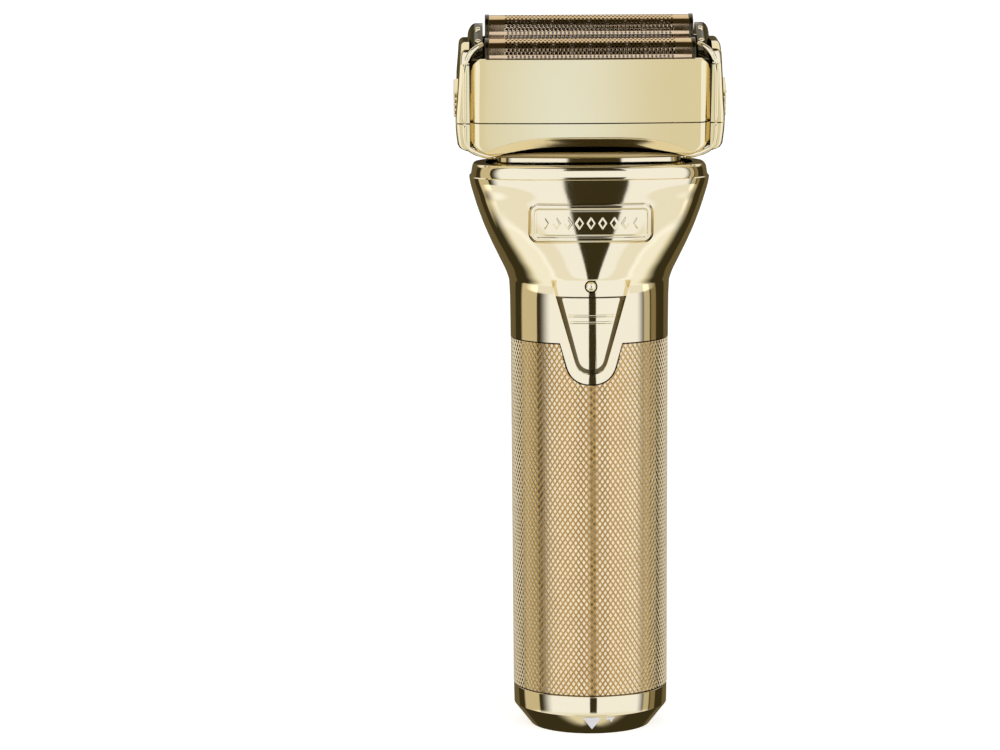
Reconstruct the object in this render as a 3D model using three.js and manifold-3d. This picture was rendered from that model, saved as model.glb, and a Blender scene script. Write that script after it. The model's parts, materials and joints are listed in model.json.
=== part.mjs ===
// Cordless double-foil shaver with a knurled handle, a flared neck collar and a tilted head.
// Units are millimetres, +Z is up, -Y is the front (switch side), +X is the user's right.
// The origin is the middle of the flat end of the handle, on which the shaver stands.
// Head pieces are drawn in the head's own frame (u = across, v = front to back, w = up the head).
import * as THREE from 'three';
import { mergeVertices } from 'three/addons/utils/BufferGeometryUtils.js';
import Module from 'manifold-3d';

const wasm = await Module();
wasm.setup();

// ---- driving dimensions -------------------------------------------------------------------
const GAP = 0.3;              // clearance between pieces that sit against each other
const SEGMENTS = 48;          // facets round the large pieces
const SMALL = 24;             // facets round the small and hidden ones
const TINY = 16;              // facets round pins and lenses
const OVERSHOOT = 1;          // how far a cutting tool runs past what it cuts
const FRONT_REACH = -25;      // tools that cut from the front start this far forward

// handle end ring and battery cap
const RIM_FLAT_R = 13.8;      // flat face that the shaver stands on
const RING_R = 17.85;
const CHAMFER_TOP = 5.0;
const RING_TOP = 9.5;
const RING_EASE_R = 0.15;     // small bevel between the chamfer and the ring
const RING_EASE_Z = 0.25;
const SPIGOT_TOP = 13.0;      // the knurled sleeve slips over this spigot
const TUBE_LEDGE = 7.2;
const BORE_R = 12.5;          // the battery pack passes through here
const GROOVE_R = 13.35;       // bayonet groove and its entry slots
const GROOVE_LOW = 2.2;
const GROOVE_HIGH = 4.7;
const LUG_COUNT = 3;
const LUG_ANGLE = 24;         // degrees round the ring
const SLOT_ANGLE = 30;
const SLOT_LAP = 0.2;         // each entry slot runs this far into the groove
const CAP_R = 12.1;
const CAP_TOP = 4.9;
const CAP_DISH_R = 10.4;      // shallow dish in the cap, crossed by a finger bar
const CAP_DISH = 1.8;
const LUG_R = 13.0;
const FINGER_BAR = { halfLength: 10.6, halfWidth: 2.2, high: 2.4 };
const O_RING = { r: 11.6, z: 5.95, wire: 0.7, sides: 6 };

// knurled sleeve
const SLEEVE_TOP = 90.7;
const SLEEVE_R_LOW = 17.9;
const SLEEVE_R_HIGH = 18.15;
const SLEEVE_BORE = 16.6;
const NOTCH_FLARE = 0.6;      // the notch for the tongue widens this much at its mouth

// polished upper housing: [height, half width, half depth, squareness of the outline]
const HOUSING_BOTTOM = SLEEVE_TOP + GAP;
const HOUSING_SECTIONS = [
  [HOUSING_BOTTOM, 18.2, 18.2, 2.0],
  [104.0, 18.4, 18.4, 2.0],
  [106.4, 19.2, 18.7, 2.1],
  [109.4, 20.9, 19.0, 2.3],
  [117.5, 24.4, 19.4, 2.8],
  [127.2, 27.45, 19.7, 3.2],
  [130.6, 26.7, 18.5, 3.2],
  [131.2, 26.0, 17.9, 3.2],
];
const [, HOUSING_R] = HOUSING_SECTIONS[0];
const [, RIM_HALF_W, RIM_HALF_D, RIM_SQUARENESS] = HOUSING_SECTIONS[HOUSING_SECTIONS.length - 1];
const HOUSING_WALL = 2.1;
const HOUSING_TOP = 131.2;

// switch, its recess and the tongue round it, drawn in front view as [x, z]
const TONGUE_TOP_HALF = 7.2;
const TONGUE_LOW_HALF = 5.6;
const TONGUE_LOW = 81.7;
const TONGUE_R = 18.12;
const TONGUE_FLARE = 0.25;    // the tongue widens this much at its root
const TONGUE_ROOT = 1.2;      // and runs this far up into the housing
const RECESS_TOP = 105.4;
const RECESS_TOP_HALF = 9.1;
const RECESS_LOW = 83.9;
const RECESS_LOW_HALF = 3.7;
const RECESS_FLOOR_R = 17.0;
const RECESS_REACH_R = 22;
const SLIDER_TOP = 101.3;
const SLIDER_LOW = 85.1;
const SLIDER_TOP_HALF = 6.6;
const SLIDER_LOW_HALF = 2.9;
const SLIDER_R = 18.25;
const RIDGE_HEIGHTS = [97.3, 95.8];
const RIDGE = { half: 3.6, front: -18.55, back: -17.6, halfHeight: 0.25 };
const STEM = { half: 1.1, front: -17.8, back: -15.9, low: 93.2, high: 96.2 };
const STEM_SLOT = { half: 1.5, front: -20, back: -14, low: 91.8, high: 98.2 };
const LED_Z = 103.9;
const LED_R = 1.2;
const LED_BACK = -15.3;
const LED_HOLE_BACK = -12;
const LED_HOLE_LENGTH = 8;
const LED_SHOULDER = 2.2;
const LED_BULGE = 2.6;
const LED_LENGTH = 2.8;

// badge on the front of the flare
const BADGE_HALF_W = 13.8;
const BADGE_LOW = 114.1;
const BADGE_HIGH = 122.7;
const BADGE_CORNER = 2.0;
const BADGE_PROUD = 0.4;      // above the housing's surface
const BADGE_SUNK = 0.7;       // below it

// battery pack
const PACK_R = 12.1;
const PACK_LOW = 6.7;
const PACK_HIGH = 79.5;
const CELL_R = 10.6;
const PACK_WALL = 1.5;        // thickness of the pack's upper end
const PACK_MOUTH_R = 3;
const PACK_WINDOW = { turns: [35, 145, 215, 325], inner: 8, outer: 16, half: 4.2, low: 16, high: 68 };
const CELL_END_GAP = 0.6;
const CELL_HIGH = 77.3;
const TERMINAL_TOP = PACK_HIGH + 1.1;
const RING_TERMINAL_R = [5.0, 8.5];
const CENTER_TERMINAL_R = 2.4;
const RING_CONTACT_R = [6.0, 7.6];
const CENTER_CONTACT_R = 1.8;
const CONTACT_LOW = PACK_HIGH + 1.5;
const TUBE_IN = 12.6;
const TUBE_OUT = 14.0;
const TUBE_HIGH = 84.0;
const CONTACT_HIGH = 84.8;
const TUBE_LOW = 7.5;
const TUBE_EYE_R = 2.2;       // hole for the middle contact
const BOARD = { half: 6.8, front: -13.6, back: -12.4, low: 86, high: 111 };
const SWITCH_BODY = { half: 3.2, front: -15.6, back: -13.9, low: 91.4, high: 98.6 };
const CHIP = { half: 2.5, front: -14.9, back: -13.9, low: 86.4, high: 90.4 };

// motor and drive
const MOTOR_R = 11.0;
const MOTOR_LOW = 88.0;
const MOTOR_HIGH = 112.0;
const MOTOR_BOSS_R = 3.4;
const MOTOR_BOSS = 1.4;
const MOTOR_CAP_R = 10.4;
const MOTOR_CAP_LOW = 85.4;
const CHASSIS_PROFILE = [     // [radius, height] of the shell that holds the motor
  [13.3, 84.5], [15.7, 84.5], [15.7, 106.5], [15.3, 115.6], [4.6, 115.6], [4.6, 114.0], [13.3, 114.0], [13.3, 84.5],
];
const CHASSIS_WINDOW = { half: 7.4, front: -20, back: -10.5, low: 80, high: 112 };
const CUSHION_R = 13.0;
const CUSHION_LOW = 95;
const CUSHION_HIGH = 104;
const CUSHION_SLIT = { half: 7.4, front: -20, back: -9, low: 90, high: 110 };
const SHAFT_R = 1.15;
const ECCENTRICITY = 1.2;     // also the travel of each oscillator either side of centre
const CAM_R = 3.3;
const CAM_LOW = 117.0;        // lower eccentric, then upper eccentric above it
const CAM_STEP = 3.6;
const CAM_THICK = 2.4;
const CAM_FACETS = 20;
const CAM_WEB_R = 2.9;
const CAM_WEB_LAP = 0.4;      // the web runs this far into both eccentrics
const SHAFT_TOP = CAM_LOW + 6.2;
const YOKE_THICK = 2.0;
const YOKE_INNER = CAM_R + 2 * ECCENTRICITY + GAP;
const YOKE_LIFT = 0.2;        // each fork sits this far above the lower face of its eccentric
const PRONG_WIDTH = 2;
const PRONG_SPAN = [-3, 6];   // from the shaft's axis towards the arm's own side
const ARM_DEPTH = [5.0, 7.1];
const KNEE_FRONT = 137;
const KNEE_REAR = 142;
const POST_HALF = 2.5;
const POST_HALF_V = 1.2;
const POST_LOW = -2.2;
const POST_HIGH = 9.5;

// neck and head
const HEAD_TILT = 24;         // degrees, the top leans to the front
const HEAD_Z = 139.3;         // where the head's own origin sits above the handle end
const NECK_HALF_W = 21.1;
const NECK_HALF_D = 9.8;
const NECK_WALL = 1.4;
const NECK_LOW = 126.0;
const NECK_HIGH = 145;
const NECK_SQUARENESS = 3.6;
const NECK_FACETS = 36;
const FLANGE = { halfW: 22.6, halfD: 14.6, squareness: 3.2, thick: 2 };
const GASKET = { halfW: 23.6, halfD: 14.9, squareness: 3.2, high: 1.9 };
const HEAD_SECTIONS = [
  [-2.2, 22.5, 10.8],
  [0.0, 28.6, 12.6],
  [1.4, 30.0, 13.0],
  [7.0, 30.4, 13.0],
  [13.0, 30.0, 13.0],
  [26.0, 29.1, 13.0],
];
const HEAD_SQUARENESS = 6;
const CAVITY = { halfW: 28.2, halfD: 11.7, squareness: 10 };
const CAVITY_SPAN = [-5, 30]; // past both ends of the head
const HEAD_DEPTH = 13.0;      // half depth of the head
const SEAM_FRONT = 7.2;       // height of the cassette seam on the front face
const RIM_FRONT = 23.1;       // height of the cassette rim on the front face
const PLANE_FALL = 0.233;     // both planes drop this much per mm towards the back
const BASE_FLOOR = -0.6;
const DECK_LOW = BASE_FLOOR + GAP;
const DECK_HIGH = 1.3;
const ARM_WINDOW_DEPTHS = [[-9.4, -4.3], [4.2, 8.9]];
const SCREW_PLACES = [[-24, -8], [24, -8], [-24, 8], [24, 8]];
const SCREW_FACETS = 12;
const SCREW_LOW = -0.1;
const SCREW_SHANK_R = 0.8;
const SCREW_HEAD_R = 1.7;
const SCREW_HEAD = [1.1, 1.5];  // heights of the head's edge and of its middle
const SCREW_HOLE_R = 1.1;
const SEAL = { v: 6.8, half: 7.2, halfV: 3.2, high: 1.8, openNear: 2.3, openFar: 2.1 };

// foils and cutters
const FOIL_V = 6.15;          // half the spacing of the two foils
const FOIL_W = 19.7;          // centre of each foil's arch
const FOIL_R = 5.0;
const FOIL_THICK = 0.3;
const FOIL_HALF = 22.4;
const FOIL_SKIRT = 16.2;
const END_PLATE_R = 5.15;
const END_PLATE_THICK = 1.0;
const END_PLATE_LOW = 14.5;
const CUTTER_R = 4.3;
const CUTTER_HALF = 21.0;
const BLADE_COUNT = 11;
const BLADE_THICK = 0.7;
const CARRIER_LOW = 12.8;
const CARRIER_HIGH = 15.0;
const CARRIER_HALF_V = 2.4;
const SPINE_HALF_V = 1.3;
const SPINE_HIGH = 20.2;
const BLADE_LOW = 18.6;
const SOCKET_HALF = 4.4;
const SOCKET_LOW = 6.6;
const SOCKET_HOLE = { halfV: 1.5, low: 5, high: 12.4 };
const SPRING_FACETS = 12;
const CUTTER_COIL = { inner: 0.5, outer: 1.1, low: 9.8, high: 12.1 };
const SMALL_COIL = { inner: 0.4, outer: 0.85, length: 1.5 };
const FOIL_COIL_W = 12.6;

// frame inside the cassette, and the blocks that close its ends
const FRAME_HALF_W = 26.8;
const FRAME_HALF_D = 11.25;
const FRAME_SQUARENESS = 16;
const FRAME_LOW = 9.0;
const FRAME_HIGH = 12.2;
const FRAME_OPEN_U = 22.6;
const FRAME_CLEARANCE = 0.2;
const FRAME_FACETS = 32;
const BLOCK_IN = 24.2;
const BLOCK_OUT = 27.8;
const BLOCK_LOW = 13.6;       // above the release buttons, which are pressed in under it
const BLOCK_HIGH = 23.4;
const BLOCK_CORNER = 4.0;
const BLOCK_TRIM = [10, 26];  // span of the cavity outline that trims the blocks
const BLOCK_HALF_D = 11;
const BLOCK_REAR = { shoulder: 18.6, bendV: 9.5, bendW: 22.6, flat: 5.0 };
const BLOCK_FRONT = { shoulder: 20.0, bendV: 9.5, bendW: 23.0, flat: 5.5 };

// cassette release buttons
const BUTTON_V = -4.6;
const BUTTON_HALF_V = 4.0;
const BUTTON_LOW = 6.2;
const BUTTON_HIGH = 13.2;
const BUTTON_OUT = 30.55;
const BUTTON_IN = 28.9;
const RIB_COUNT = 5;
const RIB_HALF_V = 3.4;
const RIB_HALF_W = 0.35;
const RIB_PROUD = 0.4;
const RIB_ROOT = 0.5;
const BUTTON_WINDOW_DEPTH = 8;
const BUTTON_WINDOW_IN = 26;
const BUTTON_COIL_W = 10.6;
const BUTTON_COIL_IN = 27.15;

const model = new THREE.Group();
const head = new THREE.Group();
head.position.set(0, 0, HEAD_Z);
head.rotation.x = THREE.MathUtils.degToRad(HEAD_TILT);
model.add(head);
head.updateMatrixWorld(true);

// ---- helpers ------------------------------------------------------------------------------
const rad = THREE.MathUtils.degToRad;

function toSolid(geometry) {
  const bare = geometry.clone();
  for (const name of ['normal', 'uv']) bare.deleteAttribute(name);
  const merged = mergeVertices(bare, 1e-5);
  return new wasm.Manifold(new wasm.Mesh({
    numProp: 3,
    vertProperties: Float32Array.from(merged.attributes.position.array),
    triVerts: Uint32Array.from(merged.index.array),
  }));
}

function toGeometry(solid) {
  const mesh = solid.getMesh();
  const geometry = new THREE.BufferGeometry();
  geometry.setAttribute('position', new THREE.BufferAttribute(Float32Array.from(mesh.vertProperties), 3));
  geometry.setIndex(Array.from(mesh.triVerts));
  geometry.computeVertexNormals();
  return geometry;
}

function cut(body, ...tools) {
  let solid = toSolid(body);
  for (const tool of tools) solid = solid.subtract(toSolid(tool));
  return toGeometry(solid);
}

function join(body, ...others) {
  let solid = toSolid(body);
  for (const other of others) solid = solid.add(toSolid(other));
  return toGeometry(solid);
}

function common(a, b) {
  return toGeometry(toSolid(a).intersect(toSolid(b)));
}

// A solid of revolution about Z from [radius, height] points, the outer side listed upwards.
function turned(points, segments = SEGMENTS) {
  const profile = points.map(([r, z]) => new THREE.Vector2(r, z));
  return new THREE.LatheGeometry(profile, segments).rotateX(Math.PI / 2);
}

function disc(r, low, high, segments = SMALL) {
  return turned([[0, low], [r, low], [r, high], [0, high]], segments);
}

function tube(rIn, rOut, low, high, segments = SEGMENTS) {
  return turned([[rIn, low], [rOut, low], [rOut, high], [rIn, high], [rIn, low]], segments);
}

function box(x0, x1, y0, y1, z0, z1) {
  const geometry = new THREE.BoxGeometry(x1 - x0, y1 - y0, z1 - z0);
  return geometry.translate((x0 + x1) / 2, (y0 + y1) / 2, (z0 + z1) / 2);
}

// A box centred on x = 0, for the pieces behind the switch.
function upright({ half, front, back, low, high }) {
  return box(-half, half, front, back, low, high);
}

// One closed ring of a squared ellipse, counter-clockwise seen from above.
function ring(halfW, halfD, squareness, z, count = SEGMENTS) {
  const points = [];
  for (let i = 0; i < count; i += 1) {
    const angle = (2 * Math.PI * i) / count;
    const c = Math.cos(angle);
    const s = Math.sin(angle);
    const scale = (Math.abs(c) ** squareness + Math.abs(s) ** squareness) ** (-1 / squareness);
    points.push(new THREE.Vector3(halfW * c * scale, halfD * s * scale, z));
  }
  return points;
}

// A solid skinned over rings of equal count, listed upwards, with flat ends.
function loft(rings) {
  const count = rings[0].length;
  const positions = [];
  const index = [];
  for (const points of rings) for (const p of points) positions.push(p.x, p.y, p.z);
  for (let r = 0; r < rings.length - 1; r += 1) {
    for (let i = 0; i < count; i += 1) {
      const j = (i + 1) % count;
      const a = r * count + i;
      const b = r * count + j;
      index.push(a, b, b + count, a, b + count, a + count);
    }
  }
  const last = (rings.length - 1) * count;
  const centres = positions.length / 3;
  positions.push(0, 0, rings[0][0].z, 0, 0, rings[rings.length - 1][0].z);
  for (let i = 0; i < count; i += 1) {
    const j = (i + 1) % count;
    index.push(centres, j, i, centres + 1, last + i, last + j);
  }
  const geometry = new THREE.BufferGeometry();
  geometry.setAttribute('position', new THREE.Float32BufferAttribute(positions, 3));
  geometry.setIndex(index);
  return geometry;
}

function prismUp(halfW, halfD, squareness, low, high, count = SEGMENTS) {
  return loft([ring(halfW, halfD, squareness, low, count), ring(halfW, halfD, squareness, high, count)]);
}

// Extrudes a front-view outline (x, z) through the depth from back to front.
function frontPrism(shape, yBack, yFront, curveSegments = 6) {
  const geometry = new THREE.ExtrudeGeometry(shape, { depth: yBack - yFront, bevelEnabled: false, curveSegments });
  return geometry.rotateX(Math.PI / 2).translate(0, yBack, 0);
}

// Extrudes a side-view outline (y, z) across from xLow to xHigh.
function sidePrism(shape, xLow, xHigh, curveSegments = 8) {
  const geometry = new THREE.ExtrudeGeometry(shape, { depth: xHigh - xLow, bevelEnabled: false, curveSegments });
  const toSide = new THREE.Matrix4().makeBasis(
    new THREE.Vector3(0, 1, 0), new THREE.Vector3(0, 0, 1), new THREE.Vector3(1, 0, 0));
  return geometry.applyMatrix4(toSide).translate(xLow, 0, 0);
}

function material(colour, roughness, metalness) {
  return new THREE.MeshStandardMaterial({ color: colour, roughness, metalness });
}

const FINISH = {
  chrome: [0xd9c892, 0.12, 1.0],
  knurl: [0xc9aa7c, 0.3, 1.0],
  foil: [0xc8ad78, 0.25, 1.0],
  steel: [0xb8bcc0, 0.3, 1.0],
  black: [0x17181a, 0.35, 0.0],
  rubber: [0x101112, 0.8, 0.0],
  blue: [0x1f6fc4, 0.45, 0.0],
  board: [0x1c5a3a, 0.6, 0.0],
  copper: [0xc98a4a, 0.35, 1.0],
};

function place(parent, name, geometry, finish) {
  const mesh = new THREE.Mesh(geometry, material(...FINISH[finish]));
  mesh.name = name;
  parent.add(mesh);
  return mesh;
}

// Moves a shape drawn in the head's frame into the handle's frame.
function fromHead(geometry) {
  return geometry.clone().applyMatrix4(head.matrixWorld);
}

// ---- shared outlines ----------------------------------------------------------------------
// A funnel outline with a round lower end, in front view.
function funnel(topHalf, topZ, lowHalf, lowZ) {
  const shoulder = lowZ + lowHalf * 0.75;
  const shape = new THREE.Shape();
  shape.moveTo(-topHalf, topZ);
  shape.lineTo(-lowHalf, shoulder);
  shape.quadraticCurveTo(-lowHalf * 0.8, lowZ, 0, lowZ);
  shape.quadraticCurveTo(lowHalf * 0.8, lowZ, lowHalf, shoulder);
  shape.lineTo(topHalf, topZ);
  shape.closePath();
  return shape;
}

function roundedRect(halfW, low, high, radius) {
  const shape = new THREE.Shape();
  shape.moveTo(-halfW + radius, low);
  shape.lineTo(halfW - radius, low);
  shape.absarc(halfW - radius, low + radius, radius, -Math.PI / 2, 0);
  shape.lineTo(halfW, high - radius);
  shape.absarc(halfW - radius, high - radius, radius, 0, Math.PI / 2);
  shape.lineTo(-halfW + radius, high);
  shape.absarc(-halfW + radius, high - radius, radius, Math.PI / 2, Math.PI);
  shape.lineTo(-halfW, low + radius);
  shape.absarc(-halfW + radius, low + radius, radius, Math.PI, 1.5 * Math.PI);
  shape.closePath();
  return shape;
}

function housingSolid(offset, low = HOUSING_BOTTOM, high = HOUSING_TOP) {
  const sections = HOUSING_SECTIONS.map(([z, w, d, n]) => ring(w + offset, d + offset, n, z));
  if (low < HOUSING_BOTTOM) sections.unshift(ring(HOUSING_R + offset, HOUSING_R + offset, 2, low));
  if (high > HOUSING_TOP) sections.push(ring(RIM_HALF_W + offset, RIM_HALF_D + offset, RIM_SQUARENESS, high));
  return loft(sections);
}

const BELOW = HOUSING_BOTTOM - OVERSHOOT;
const ABOVE = HOUSING_TOP + OVERSHOOT;

// The head's whole outside, from which its base and its foil cassette are both cut.
function headSolid() {
  return loft(HEAD_SECTIONS.map(([w, halfW, halfD]) => ring(halfW, halfD, HEAD_SQUARENESS, w)));
}

// Everything above (or below) a plane that falls towards the back of the head.
function beyondPlane(frontHeight, side) {
  const reach = 2 * HEAD_SECTIONS[2][1];
  const centre = frontHeight - PLANE_FALL * HEAD_DEPTH;
  const block = box(-reach, reach, -reach, reach, side > 0 ? 0 : -reach, side > 0 ? reach : 0);
  return block.rotateX(-Math.atan(PLANE_FALL)).translate(0, 0, centre);
}

// ---- handle -------------------------------------------------------------------------------
const LUG_TURNS = Array.from({ length: LUG_COUNT }, (_, i) => (360 * i) / LUG_COUNT + 90);

function lowerRing() {
  const body = turned([
    [BORE_R, 0], [RIM_FLAT_R, 0], [RING_R - RING_EASE_R, CHAMFER_TOP], [RING_R, CHAMFER_TOP + RING_EASE_Z],
    [RING_R, RING_TOP], [SLEEVE_BORE - GAP, RING_TOP], [SLEEVE_BORE - GAP, SPIGOT_TOP],
    [TUBE_OUT + GAP, SPIGOT_TOP], [TUBE_OUT + GAP, TUBE_LEDGE], [BORE_R, TUBE_LEDGE],
    [BORE_R, GROOVE_HIGH], [GROOVE_R, GROOVE_HIGH], [GROOVE_R, GROOVE_LOW], [BORE_R, GROOVE_LOW], [BORE_R, 0],
  ]);
  const slotTop = GROOVE_LOW + SLOT_LAP;
  const slots = LUG_TURNS.map((turn) => sector(BORE_R - OVERSHOOT, GROOVE_R, -OVERSHOOT, slotTop, SLOT_ANGLE, turn));
  return cut(body, ...slots);
}

// A curved block that covers `angle` degrees of a ring, centred on `turn` degrees.
function sector(rIn, rOut, low, high, angle, turn) {
  const shape = new THREE.Shape();
  shape.absarc(0, 0, rOut, rad(turn - angle / 2), rad(turn + angle / 2));
  shape.absarc(0, 0, rIn, rad(turn + angle / 2), rad(turn - angle / 2), true);
  shape.closePath();
  const geometry = new THREE.ExtrudeGeometry(shape, { depth: high - low, bevelEnabled: false, curveSegments: 5 });
  return geometry.translate(0, 0, low);
}

function gripSleeve() {
  const low = RING_TOP + GAP;
  const body = turned([
    [SLEEVE_BORE, low], [SLEEVE_R_LOW, low], [SLEEVE_R_HIGH, SLEEVE_TOP], [SLEEVE_BORE, SLEEVE_TOP], [SLEEVE_BORE, low],
  ]);
  const mouth = SLEEVE_TOP + 2 * OVERSHOOT;
  const outline = funnel(TONGUE_TOP_HALF + NOTCH_FLARE, mouth, TONGUE_LOW_HALF + GAP, TONGUE_LOW - GAP);
  return cut(body, frontPrism(outline, 0, FRONT_REACH));
}

function upperHousing() {
  const shell = cut(housingSolid(0), housingSolid(-HOUSING_WALL, BELOW, ABOVE));
  const tongueTop = SLEEVE_TOP + TONGUE_ROOT;
  const tongueOutline = funnel(TONGUE_TOP_HALF + TONGUE_FLARE, tongueTop, TONGUE_LOW_HALF, TONGUE_LOW);
  const tongueRing = tube(HOUSING_R - HOUSING_WALL, TONGUE_R, TONGUE_LOW - OVERSHOOT, tongueTop);
  const tongue = common(tongueRing, frontPrism(tongueOutline, 0, FRONT_REACH));
  const recess = common(
    tube(RECESS_FLOOR_R, RECESS_REACH_R, RECESS_LOW - OVERSHOOT, RECESS_TOP + OVERSHOOT),
    frontPrism(funnel(RECESS_TOP_HALF, RECESS_TOP, RECESS_LOW_HALF, RECESS_LOW), 0, FRONT_REACH));
  const ledHole = disc(LED_R + GAP, 0, LED_HOLE_LENGTH, TINY).rotateX(Math.PI / 2).translate(0, LED_HOLE_BACK, LED_Z);
  const pocketOutline = roundedRect(BADGE_HALF_W + GAP, BADGE_LOW - GAP, BADGE_HIGH + GAP, BADGE_CORNER + GAP);
  const badgePocket = common(
    cut(housingSolid(2 * OVERSHOOT), housingSolid(-BADGE_SUNK - GAP, BELOW, ABOVE)),
    frontPrism(pocketOutline, 0, FRONT_REACH));
  return cut(join(shell, tongue), recess, upright(STEM_SLOT), ledHole, badgePocket);
}

function nameBadge() {
  const outline = frontPrism(roundedRect(BADGE_HALF_W, BADGE_LOW, BADGE_HIGH, BADGE_CORNER), 0, FRONT_REACH);
  return common(cut(housingSolid(BADGE_PROUD), housingSolid(-BADGE_SUNK, BELOW, ABOVE)), outline);
}

function switchSlider() {
  const outline = frontPrism(funnel(SLIDER_TOP_HALF, SLIDER_TOP, SLIDER_LOW_HALF, SLIDER_LOW), 0, FRONT_REACH);
  const plate = common(tube(RECESS_FLOOR_R + GAP, SLIDER_R, SLIDER_LOW - OVERSHOOT, SLIDER_TOP + OVERSHOOT), outline);
  const { halfHeight } = RIDGE;
  const ridges = RIDGE_HEIGHTS.map((z) => upright({ ...RIDGE, low: z - halfHeight, high: z + halfHeight }));
  return join(plate, upright(STEM), ...ridges);
}

place(model, 'lower_ring', lowerRing(), 'chrome');
place(model, 'grip_sleeve', gripSleeve(), 'knurl');
place(model, 'upper_housing', upperHousing(), 'chrome');
place(model, 'name_badge', nameBadge(), 'chrome');
place(model, 'switch_slider', switchSlider(), 'chrome');
const ledProfile = [[0, 0], [LED_R, 0], [LED_R, LED_SHOULDER], [LED_R * 0.75, LED_BULGE], [0, LED_LENGTH]];
const led = place(model, 'led_lens', turned(ledProfile, TINY).rotateX(Math.PI / 2), 'chrome');
led.position.set(0, LED_BACK, LED_Z);

// ---- battery pack and its twist-lock cap --------------------------------------------------
function batterySleeve() {
  const body = turned([
    [CELL_R + GAP, PACK_LOW], [PACK_R, PACK_LOW], [PACK_R, PACK_HIGH], [PACK_MOUTH_R, PACK_HIGH],
    [PACK_MOUTH_R, PACK_HIGH - PACK_WALL], [CELL_R + GAP, PACK_HIGH - PACK_WALL], [CELL_R + GAP, PACK_LOW],
  ], SMALL * 1.5);
  const { turns, inner, outer, half, low, high } = PACK_WINDOW;
  return cut(body, ...turns.map((turn) => box(inner, outer, -half, half, low, high).rotateZ(rad(turn))));
}

function batteryCap() {
  const body = turned([
    [0, CAP_DISH], [CAP_DISH_R, CAP_DISH], [CAP_DISH_R, 0], [CAP_R, 0], [CAP_R, CAP_TOP], [0, CAP_TOP],
  ]);
  const { halfLength, halfWidth, high } = FINGER_BAR;
  const fingerBar = box(-halfLength, halfLength, -halfWidth, halfWidth, 0, high);
  const lugs = LUG_TURNS.map((turn) => (
    sector(CAP_R - OVERSHOOT, LUG_R, GROOVE_LOW + GAP, GROOVE_HIGH - GAP, LUG_ANGLE, turn)));
  return join(body, fingerBar, ...lugs);
}

function capSeal() {
  const profile = [];
  for (let i = 0; i <= O_RING.sides; i += 1) {
    const angle = (2 * Math.PI * i) / O_RING.sides;
    profile.push([O_RING.r + O_RING.wire * Math.cos(angle), O_RING.z + O_RING.wire * Math.sin(angle)]);
  }
  return turned(profile, SMALL);
}

place(model, 'battery_sleeve', batterySleeve(), 'black');
place(model, 'battery_cell', disc(CELL_R, PACK_LOW + CELL_END_GAP, CELL_HIGH), 'blue');
place(model, 'ring_terminal', tube(...RING_TERMINAL_R, PACK_HIGH + GAP, TERMINAL_TOP, SMALL), 'steel');
place(model, 'center_terminal', disc(CENTER_TERMINAL_R, CELL_HIGH + GAP, TERMINAL_TOP, TINY), 'steel');
place(model, 'battery_cap', batteryCap(), 'chrome');
place(model, 'cap_o_ring', capSeal(), 'rubber');

// ---- battery tube, contacts and electronics -----------------------------------------------
const TUBE_PROFILE = [
  [TUBE_IN, TUBE_LOW], [TUBE_OUT, TUBE_LOW], [TUBE_OUT, TUBE_HIGH], [TUBE_EYE_R, TUBE_HIGH],
  [TUBE_EYE_R, TUBE_HIGH - PACK_WALL], [TUBE_IN, TUBE_HIGH - PACK_WALL], [TUBE_IN, TUBE_LOW],
];
place(model, 'battery_tube', turned(TUBE_PROFILE, SMALL * 1.5), 'black');
const ringContact = tube(...RING_CONTACT_R, CONTACT_LOW, TUBE_HIGH - PACK_WALL - GAP, SMALL);
place(model, 'ring_contact', ringContact, 'copper');
place(model, 'center_contact', disc(CENTER_CONTACT_R, CONTACT_LOW, CONTACT_HIGH, TINY), 'copper');
place(model, 'circuit_board', upright(BOARD), 'board');
place(model, 'slide_switch', upright(SWITCH_BODY), 'black');
place(model, 'driver_chip', upright(CHIP), 'black');

// ---- motor and drive ----------------------------------------------------------------------
function motorCan() {
  return turned([
    [SHAFT_R + GAP, MOTOR_LOW], [MOTOR_R, MOTOR_LOW], [MOTOR_R, MOTOR_HIGH], [MOTOR_BOSS_R, MOTOR_HIGH],
    [MOTOR_BOSS_R, MOTOR_HIGH + MOTOR_BOSS], [SHAFT_R + GAP, MOTOR_HIGH + MOTOR_BOSS], [SHAFT_R + GAP, MOTOR_LOW],
  ], SMALL);
}

function eccentricCam() {
  const upperLow = CAM_LOW + CAM_STEP;
  const lower = disc(CAM_R, CAM_LOW, CAM_LOW + CAM_THICK, CAM_FACETS).translate(ECCENTRICITY, 0, 0);
  const web = disc(CAM_WEB_R, CAM_LOW + CAM_THICK - CAM_WEB_LAP, upperLow + CAM_WEB_LAP, CAM_FACETS);
  const upper = disc(CAM_R, upperLow, upperLow + CAM_THICK, CAM_FACETS).translate(-ECCENTRICITY, 0, 0);
  const hole = disc(SHAFT_R + GAP, CAM_LOW - OVERSHOOT, upperLow + CAM_THICK + 2 * OVERSHOOT, TINY);
  return cut(join(lower, web, upper), hole);
}

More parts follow.
